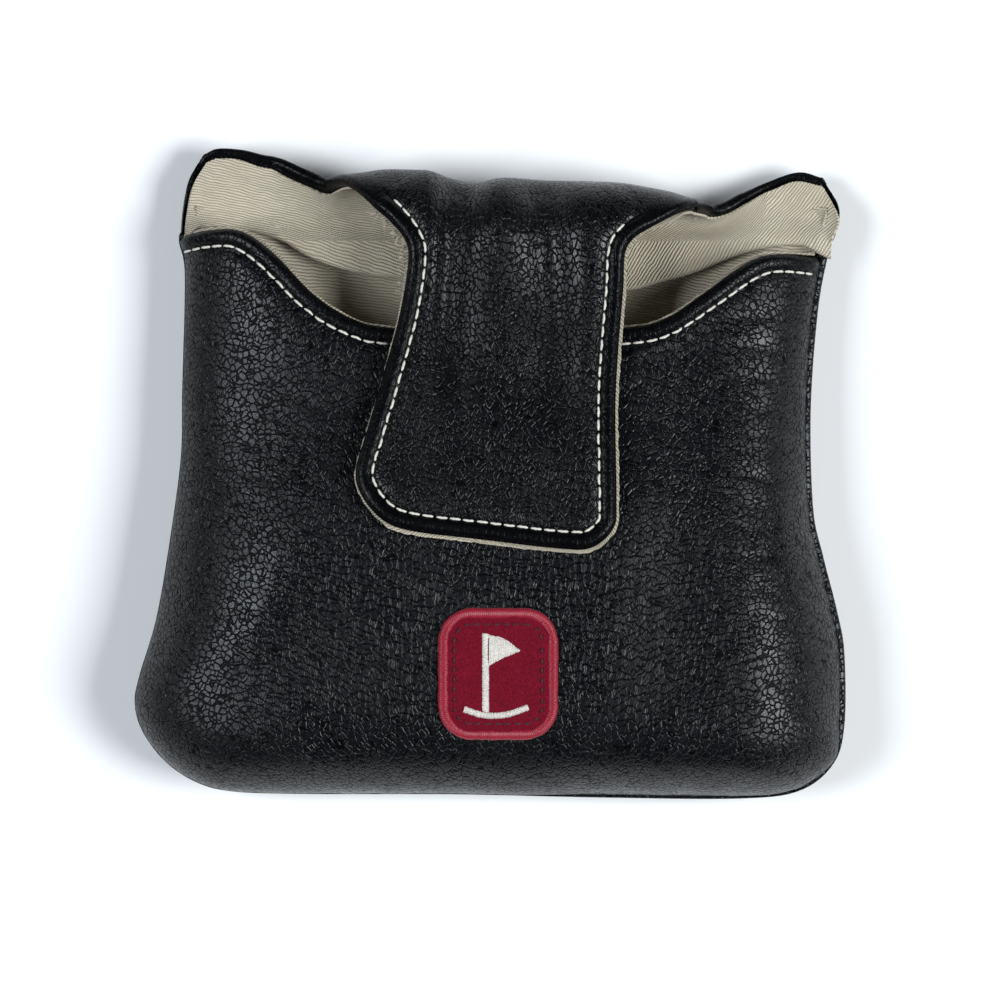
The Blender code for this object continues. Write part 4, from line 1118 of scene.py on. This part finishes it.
ear_linings = {}
for name, side_sign, tongue_x in (("left", -1, TONGUE_SIDES[0]), ("right", 1, TONGUE_SIDES[1])):
    ear = ears[name]
    shares = np.linspace(0, 1, 90)
    crest = points_at_shares(ear["crest"], shares)
    margin = lerp(1.15, 2.6, smoothstep(shares / 0.8)) if name == "left" else lerp(0.9, 1.6, shares)
    teeth = 0.22 * np.abs(np.sin(np.arange(len(shares)) * math.pi * 0.5 + 0.3))
    ragged = 0.12 * waves(shares * length_of(ear["crest"]), 0, 3, 72)
    crest = offset_curve(crest, side_sign * (margin + teeth + ragged))
    side_margin = EAR_SIDE[name] + 0.05
    side = ear["side"] - np.array([side_sign * side_margin, 0.0])
    outer_x = side[0, 0]
    start_u = to_u(outer_x, fold_on(name, outer_x))
    side = np.vstack([[outer_x, start_u], side[side[:, 1] > max(start_u, 0.0) + 0.2][:-4], crest[0]])
    foot = np.array([(px, to_u(px, fold_on(name, px))) for px in np.linspace(outer_x, tongue_x, 60)])
    inner_side = np.array([foot[-1], crest[-1]])
    across = two_ended(1.0, first=0.004, growth=1.3, largest=0.012)
    up = crowded(1.0, first=0.02, growth=1.05, largest=0.03)
    plane = between_borders(foot, crest, side, inner_side, across, up)
    x, u = plane[..., 0], plane[..., 1]
    inset, _ = Nearest(ear["side"])(x, u)
    below_top, _ = Nearest(ear["crest"])(x, u)
    body = loose_lining(x, u, inset, below_top, side_margin)
    ear_linings[name] = folded_lining(f"ear_lining_{name}", body, x, u)

# The same fold runs on under the flap.
xs = np.linspace(*TONGUE_SIDES, 120)
up = crowded(1.0, first=0.015, growth=1.1, largest=0.08)
x = xs[None] + 0 * up[:, None]
u = (fold_place(xs) - ROLL_Y)[None] * (1 - up[:, None])
fold_lining = folded_lining("lining_fold", loose_lining(x, u), x, u)

# Pocket lining over the back panel, swollen a little inside the mouth
POCKET_TOP_LEFT = 57.0
left_pocket = crossing(outline, 1, POCKET_TOP_LEFT)
right_pocket = crossing(outline, 1, POCKET_TOP_LEFT, last=True)
pocket_rows = crowded((right_pocket - left_pocket) / 2, first=0.6, growth=1.2, largest=2.0)


def pocket_top(x):
    left = smoothstep((-38 - x) / 10)
    right = smoothstep((x - 49) / 9)
    return ROLL_Y + 0.3 + (POCKET_TOP_LEFT - ROLL_Y - 0.3) * np.maximum(left, right)


x, y, inset = fan(left_pocket, right_pocket, pocket_rows, ROLL_Y + 0.3, BACK_STEM,
                  rim_turns(BACK_ROUND, 9), 2.0, top=pocket_top)
face = np.stack([x, y, back_surface(y, inset)], axis=-1)
normal = fan_normals(face, -1)
mouth_gap = y - mouth_y(x)
under_fold = smoothstep((fold_place(x) + 1.0 - y) / 7)
swell = 4.6 * bell(mouth_gap - 1.0, 6.5) * smoothstep((inset - 2) / 9) * under_fold
puckers = 0.5 * waves(x, y, 8, 81) * bell(mouth_gap, 14) * under_fold
depth = PANEL_THICK + LINING_GAP + (swell + puckers) * smoothstep((inset - 1) / 6)
pocket = face - normal * depth[..., None]
back_lining = shell("back_lining", pocket, pocket + normal * LINING, twill, fan=True,
                    weave=weave_at(x, y + 0.06 * x, math.radians(-4.0)))

# ---------------------------------------------------------------- topstitching

def tube_rings(centres, normals, radii, sides, twist, plies):
    """Rings of points of a thread, swollen into plies that turn along it."""
    tangent = unit(np.gradient(centres, axis=0))
    across = unit(np.cross(tangent, normals))
    up = np.cross(across, tangent)
    angle = np.arange(sides) * 2 * math.pi / sides
    along = lengths_along(centres)
    ply = 1 + 0.14 * np.cos(plies * (angle[None] - twist * along[:, None]))
    ring = across[:, None] * np.cos(angle)[:, None] + up[:, None] * np.sin(angle)[:, None]
    return centres[:, None] + ring * (radii[:, None] * ply)[..., None]


class Threads:
    """Many short threads gathered into one mesh."""

    def __init__(self):
        self.points = []
        self.faces = []
        self.count = 0

    def add(self, centres, normals, radii, sides=8, twist=3.2, plies=2):
        rings = tube_rings(np.array(centres), np.array(normals), np.array(radii), sides, twist, plies)
        rows = len(rings)
        index = self.count + np.arange(rows * sides).reshape(rows, sides)
        wrapped = np.concatenate([index, index[:, :1]], axis=1)
        self.faces.append(grid_faces(wrapped))
        for row in (index[0], index[-1][::-1]):
            half = sides // 2
            for k in range(half - 1):
                self.faces.append([(row[k], row[k + 1], row[sides - 2 - k], row[sides - 1 - k])])
        self.points.append(rings.reshape(-1, 3))
        self.count += rows * sides

    def build(self, name, look):
        return add_mesh(name, np.concatenate(self.points), np.concatenate(self.faces), look, {})


def draped_line(trees, curve):
    """Points and normals of a curve laid on the surfaces below it."""
    found = [drape(trees, px, py) for px, py in curve]
    return np.array([place for place, _ in found]), np.array([up for _, up in found])


draw = np.random.default_rng(7)


def stitch_row(name, trees, curve, keep=lambda place: True):
    """A row of stitches along a curve seen from above; keep says which of them to make."""
    line, normals = draped_line(trees, curve)
    normals = np.cumsum(normals, axis=0)
    normals[5:] = normals[5:] - normals[:-5]
    at = lengths_along(line)
    even = np.linspace(0, at[-1], 400)
    normals = unit(np.stack([np.interp(even, at, normals[:, i]) for i in range(3)], axis=1))
    share = np.linspace(0, 1, 11)
    lift = np.sin(math.pi * share) ** 0.45
    threads = Threads()
    start = 0.4
    while start + STITCH_LENGTH < at[-1]:
        middle = points_at(line, [start + STITCH_LENGTH / 2])[0]
        wobble = draw.uniform(-0.08, 0.08)
        if keep(middle):
            centres = points_at(line, start + wobble + share * STITCH_LENGTH)
            up = np.repeat(normals[[int(start / at[-1] * 399)]], len(share), axis=0)
            centres = centres + up * (lift * STITCH_ARCH - STITCH_SINK)[:, None]
            threads.add(centres, up, STITCH_R * (0.62 + 0.38 * lift))
        start += STITCH_PITCH
    return threads.build(name, white_thread)


mouth_line = offset_curve(mouth_curve, -HEM_WIDTH)
mouth_line = mouth_line[(mouth_line[:, 0] > -64.6) & (mouth_line[:, 0] < 69.2)]
mouth_stitches = stitch_row("mouth_stitches", [front_tree], spaced(mouth_line, 500))

inner_edge = offset_curve(free_edge, -HEM_WIDTH)
stitch_part = inner_edge[(edge_at > STITCH_START) & (edge_at < STITCH_END)]
stitch_plan = spaced(unrolled(stitch_part[:, 0], stitch_part[:, 1])[:, :2], 700)
tongue_trees = [last_roll_tree, flap_tree]
flap_stitches = stitch_row("flap_stitches", tongue_trees, stitch_plan, lambda p: p[1] <= ROLL_Y)
neck_stitches = stitch_row("neck_stitches", tongue_trees, stitch_plan, lambda p: p[1] > ROLL_Y)

# ---------------------------------------------------------------- loose cotton ends at the neck

FRAY_R = 0.075


def fray(name, places):
    """Short curled yarn ends along the cut edge of the lining, at lengths along the free edge."""
    threads = Threads()
    steps = np.linspace(0, 1, 7)
    for where in places:
        base, beside = points_at(free_edge, [where, where + 0.5])
        tangent = unit(beside - base)
        out = np.array([-tangent[1], tangent[0]])
        length = draw.uniform(0.7, 1.9)
        swing = draw.uniform(-0.9, 0.9)
        plane = (base + out * (0.35 + steps * length)[:, None]
                 + tangent * (swing * steps**2 * length)[:, None])
        face = unrolled(plane[:, 0], plane[:, 1])
        up = normals_of(unrolled, plane[:, 0], plane[:, 1])
        depth = HEM + 0.15 - draw.uniform(0.2, 1.8) * steps**1.5
        threads.add(face - up * depth[:, None], up, FRAY_R * (1 - 0.55 * steps), sides=6, plies=1)
    return threads.build(name, fray_thread)


neck_fray = fray("neck_fray", flap_start - draw.uniform(0.5, 9.5, 16))
flap_fray = fray("flap_fray", flap_start + draw.uniform(0.3, 14.0, 22))
right_fray = fray("flap_fray_right", flap_end - draw.uniform(0.3, 10.0, 9))

# ---------------------------------------------------------------- patch

def patch_ring(inset, count):
    """Evenly spaced points round the patch, moved in from its border, the last on the first."""
    corner = max(PATCH_CORNER - inset, 0.5)
    half = np.array(PATCH_SIZE) / 2 - inset - corner
    points = []
    for quarter, (sx, sy) in enumerate(((1, 1), (-1, 1), (-1, -1), (1, -1))):
        for angle in np.linspace(0, math.pi / 2, 16) + quarter * math.pi / 2:
            points.append((PATCH_CENTRE[0] + sx * half[0] + corner * math.cos(angle),
                           PATCH_CENTRE[1] + sy * half[1] + corner * math.sin(angle)))
    points.append(points[0])
    return spaced(np.array(points), count)


# The border: satin stitches over a cord, as ridges across a half-round band
AROUND = 900
OVER = 14
STITCH_RIDGE = 0.42
middle = patch_ring(BORDER_WIDTH / 2, AROUND + 1)[:-1]
line, normals = draped_line([front_tree], middle)
tangent = unit(np.roll(line, -1, axis=0) - np.roll(line, 1, axis=0))
across = unit(np.cross(tangent, normals))
turn = np.linspace(-0.15, math.pi + 0.15, OVER)
length = np.arange(AROUND) * length_of(middle) / AROUND
slant = 0.25 * np.cos(turn)[None]
ridge = np.abs(np.sin(math.pi * (length[:, None] / STITCH_RIDGE + slant)))
uneven = (0.06 * waves(length, 0, 2.2, 91) + 0.05 * waves(length, 0, 0.9, 92))[:, None]
high = (0.95 + 0.13 * ridge + uneven) * np.sin(np.clip(turn, 0, math.pi))[None] ** 0.8
wide = (BORDER_WIDTH / 2) * (1 + 0.05 * ridge + uneven) * np.cos(turn)[None]
band = (line[:, None] + across[:, None] * wide[..., None]
        + normals[:, None] * (high + 0.05)[..., None])
index = np.arange(AROUND * OVER).reshape(AROUND, OVER)
index = np.pad(index, ((0, 1), (0, 1)), mode="wrap")
patch_border = add_mesh("patch_border_threads", band.reshape(-1, 3), grid_faces(index),
                        red_thread, {})

# The felt: spokes from under the border to the centre
SPOKES = 180
RINGS = 26
FELT_TOP = 0.75
ring_shares = np.linspace(0, 1, RINGS)
rim_line = patch_ring(BORDER_WIDTH * 0.75, SPOKES + 1)[:-1]
felt_plan = PATCH_CENTRE + (rim_line[:, None] - PATCH_CENTRE) * (1 - ring_shares)[:, None]
top, low = [], []
for row in felt_plan:
    places, ups = draped_line([front_tree], row)
    puff = FELT_TOP + 0.10 * waves(row[:, 0], row[:, 1], 4.5, 93) + 0.15 * smoothstep(ring_shares / 0.2)
    top.append(places + ups * puff[:, None])
    low.append(places + ups * 0.05)
top, low = np.array(top), np.array(low)
index = np.arange(SPOKES * RINGS).reshape(SPOKES, RINGS)
index[:, -1] = index[0, -1]
index = np.concatenate([index, index[:1]])
below = index + SPOKES * RINGS
walls = np.stack([index[:, 0], below[:, 0]], axis=1)
faces = np.concatenate([grid_faces(index), grid_faces(below)[:, ::-1], grid_faces(walls)[:, ::-1]])
patch_felt = add_mesh("patch_felt_cloth", np.concatenate([top.reshape(-1, 3), low.reshape(-1, 3)]),
                      faces, red_felt, {})
felt_tree = tree_of(top)

tack = Threads()
TACK_PITCH = 2.1
TACK_R = 0.19
line, normals = draped_line([felt_tree, front_tree], patch_ring(BORDER_WIDTH + 1.15, 600))
for number in range(int(length_of(line) / TACK_PITCH)):
    start = number * TACK_PITCH + draw.uniform(-0.15, 0.15) + 0.3
    where = start + np.linspace(0, 1, 8) * draw.uniform(1.2, 1.6)
    centres = points_at(line, where)
    up = points_at(normals, where)
    lift = np.sin(np.linspace(0, math.pi, 8)) ** 0.5
    tack.add(centres + up * (lift * 0.30 - 0.14)[:, None], up, TACK_R * (0.6 + 0.4 * lift))
patch_tack = tack.build("patch_tack_threads", dark_thread)


SATIN_PITCH = 0.30
SATIN_R = 0.17


def satin(threads, one_side, other_side):
    """Satin stitches laid side by side between two lines on the felt."""
    count = int(max(length_of(one_side), length_of(other_side)) / SATIN_PITCH)
    for a, b in zip(spaced(one_side, count), spaced(other_side, count)):
        shake = draw.uniform(-0.06, 0.06, 2)
        width = np.linalg.norm(b - a)
        if width < 0.2:
            continue
        places, ups = draped_line([felt_tree], np.linspace(a + shake, b - shake, 7))
        lift = np.sin(np.linspace(0, math.pi, 7)) ** 0.5 * (0.25 + 0.05 * width) - 0.05
        threads.add(places + ups * lift[:, None], ups, np.full(7, SATIN_R), sides=6, plies=1)


# A golf flag on its pole over the edge of a green, from the patch's centre
POLE = (((-3.22, 8.4), (-3.22, -7.6)), ((-1.98, 8.2), (-1.98, -7.8)))
FLAG = (((-1.7, 8.1), (1.2, 7.4), (4.4, 5.0)), ((-1.7, 1.9), (1.0, 3.4), (4.4, 4.8)))
GREEN = ((-7.0, -7.4), (-3.0, -8.6), (1.6, -8.5), (6.2, -7.0))
motif = Threads()
satin(motif, *[np.array(side) + PATCH_CENTRE for side in POLE])
satin(motif, *[smooth_curve(np.array(side) + PATCH_CENTRE, 12) for side in FLAG])
green = smooth_curve(np.array(GREEN) + PATCH_CENTRE)
satin(motif, offset_curve(green, 0.55), offset_curve(green, -0.55))
patch_motif = motif.build("patch_motif_threads", motif_thread)

# ---------------------------------------------------------------- bodies, and what stands for what

# Each fold turns over a stretch of the roll, given by its start, the way it runs and its length.
# The first and last run 30 degrees above level. Here the pieces on the folds only have their placement
# baked into their meshes.
TURN_AWAY = 0.13


def fold_lower(piece):
    """Bakes a piece's placement into its mesh."""
    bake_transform(piece)


def fold_crest(piece):
    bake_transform(piece)


def fold_upper(piece):
    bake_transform(piece)


for piece in (rolls[0], roll_linings[0], fold_lining):
    fold_lower(piece)
for piece in (rolls[1], roll_linings[1]):
    fold_crest(piece)
for piece in (rolls[2], roll_linings[2], neck_stitches, neck_fray):
    fold_upper(piece)
for name, slope, edge_x in zip(("left", "right"), (TURN_AWAY, -TURN_AWAY), TONGUE_SIDES):
    fold_lower(ears[name]["leather"])
    fold_lower(ear_linings[name])
for piece in (flap_panel, flap_lining, flap_stitches, flap_fray, right_fray):
    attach(piece, "flap")
for piece in (front_panel, front_lining, back_panel, back_lining, mouth_stitches, patch_border,
              patch_felt, patch_tack, patch_motif):
    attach(piece, "pouch")

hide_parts("front_panel_leather", "front_panel_foam")
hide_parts("front_pocket_lining")
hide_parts("back_panel_leather", "back_panel_foam")
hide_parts("back_pocket_lining")
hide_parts("mouth_topstitch")
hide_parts("fold_lower_leather")
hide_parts("fold_upper_leather")
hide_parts("fold_lower_lining")
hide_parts("fold_upper_lining")
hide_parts("flap_leather", "flap_foam")
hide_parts("flap_lining")
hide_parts("flap_topstitch")
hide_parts("patch_border")
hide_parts("patch_felt")
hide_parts("patch_tack_stitch")
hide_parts("patch_flag_motif")

for node, look in (("flap_magnet_left", nickel), ("flap_magnet_right", nickel),
                   ("front_magnet_left", nickel), ("front_magnet_right", nickel),
                   ("side_seam_thread", seam_black), ("lining_seam_thread", seam_white)):
    for place in frame["nodes"][node].material_slots:
        place.material = look

# ---------------------------------------------------------------- stage, lights and camera

def area_light(name, place, size, power, colour):
    """A square lamp aimed at the origin."""
    data = bpy.data.lights.new(name, "AREA")
    data.shape = "SQUARE"
    data.size = size
    data.energy = power
    data.color = colour
    made = bpy.data.objects.new(name, data)
    made.location = place
    made.rotation_euler = (-Vector(place)).to_track_quat("-Z", "Y").to_euler()
    bpy.context.scene.collection.objects.link(made)


FLOOR_HALF = 3.0
FLOOR_Z = -5e-5  # just under the cover, so that no two faces coincide
floor_corners = [(x * FLOOR_HALF, y * FLOOR_HALF, FLOOR_Z)
                 for x, y in ((-1, -1), (1, -1), (1, 1), (-1, 1))]
floor_mesh = bpy.data.meshes.new("floor")
floor_mesh.from_pydata(floor_corners, [], [(0, 1, 2, 3)])
floor = bpy.data.objects.new("floor", floor_mesh)
bpy.context.scene.collection.objects.link(floor)
paper = Nodes("white_paper")
paper.look(Base_Color=(0.93, 0.93, 0.93, 1.0), Roughness=0.9)
floor_mesh.materials.append(paper.material)

area_light("key", (1.15, -0.20, 1.25), 0.75, 31.0, (0.93, 0.97, 1.0))
area_light("left_window", (-1.05, 0.00, 1.25), 0.7, 19.0, (0.88, 0.94, 1.0))
world = bpy.data.worlds.new("studio")
bpy.context.scene.world = world
world.use_nodes = True
background = world.node_tree.nodes["Background"].inputs
background["Color"].default_value = (0.9, 0.93, 1.0, 1.0)
background["Strength"].default_value = 0.07

bpy.context.scene.view_settings.view_transform = "Standard"

CAMERA_HEIGHT = 1.5
VIEW_CENTRE = (0.0022, -0.0057)
VIEW_WIDTH = 0.2113
camera_data = bpy.data.cameras.new("camera")
camera_data.sensor_width = 36.0
camera_data.lens = 36.0 * (CAMERA_HEIGHT - SEAM_Z * MM) / VIEW_WIDTH
camera = bpy.data.objects.new("camera", camera_data)
camera.location = (*VIEW_CENTRE, CAMERA_HEIGHT)
bpy.context.scene.collection.objects.link(camera)
bpy.context.scene.camera = camera
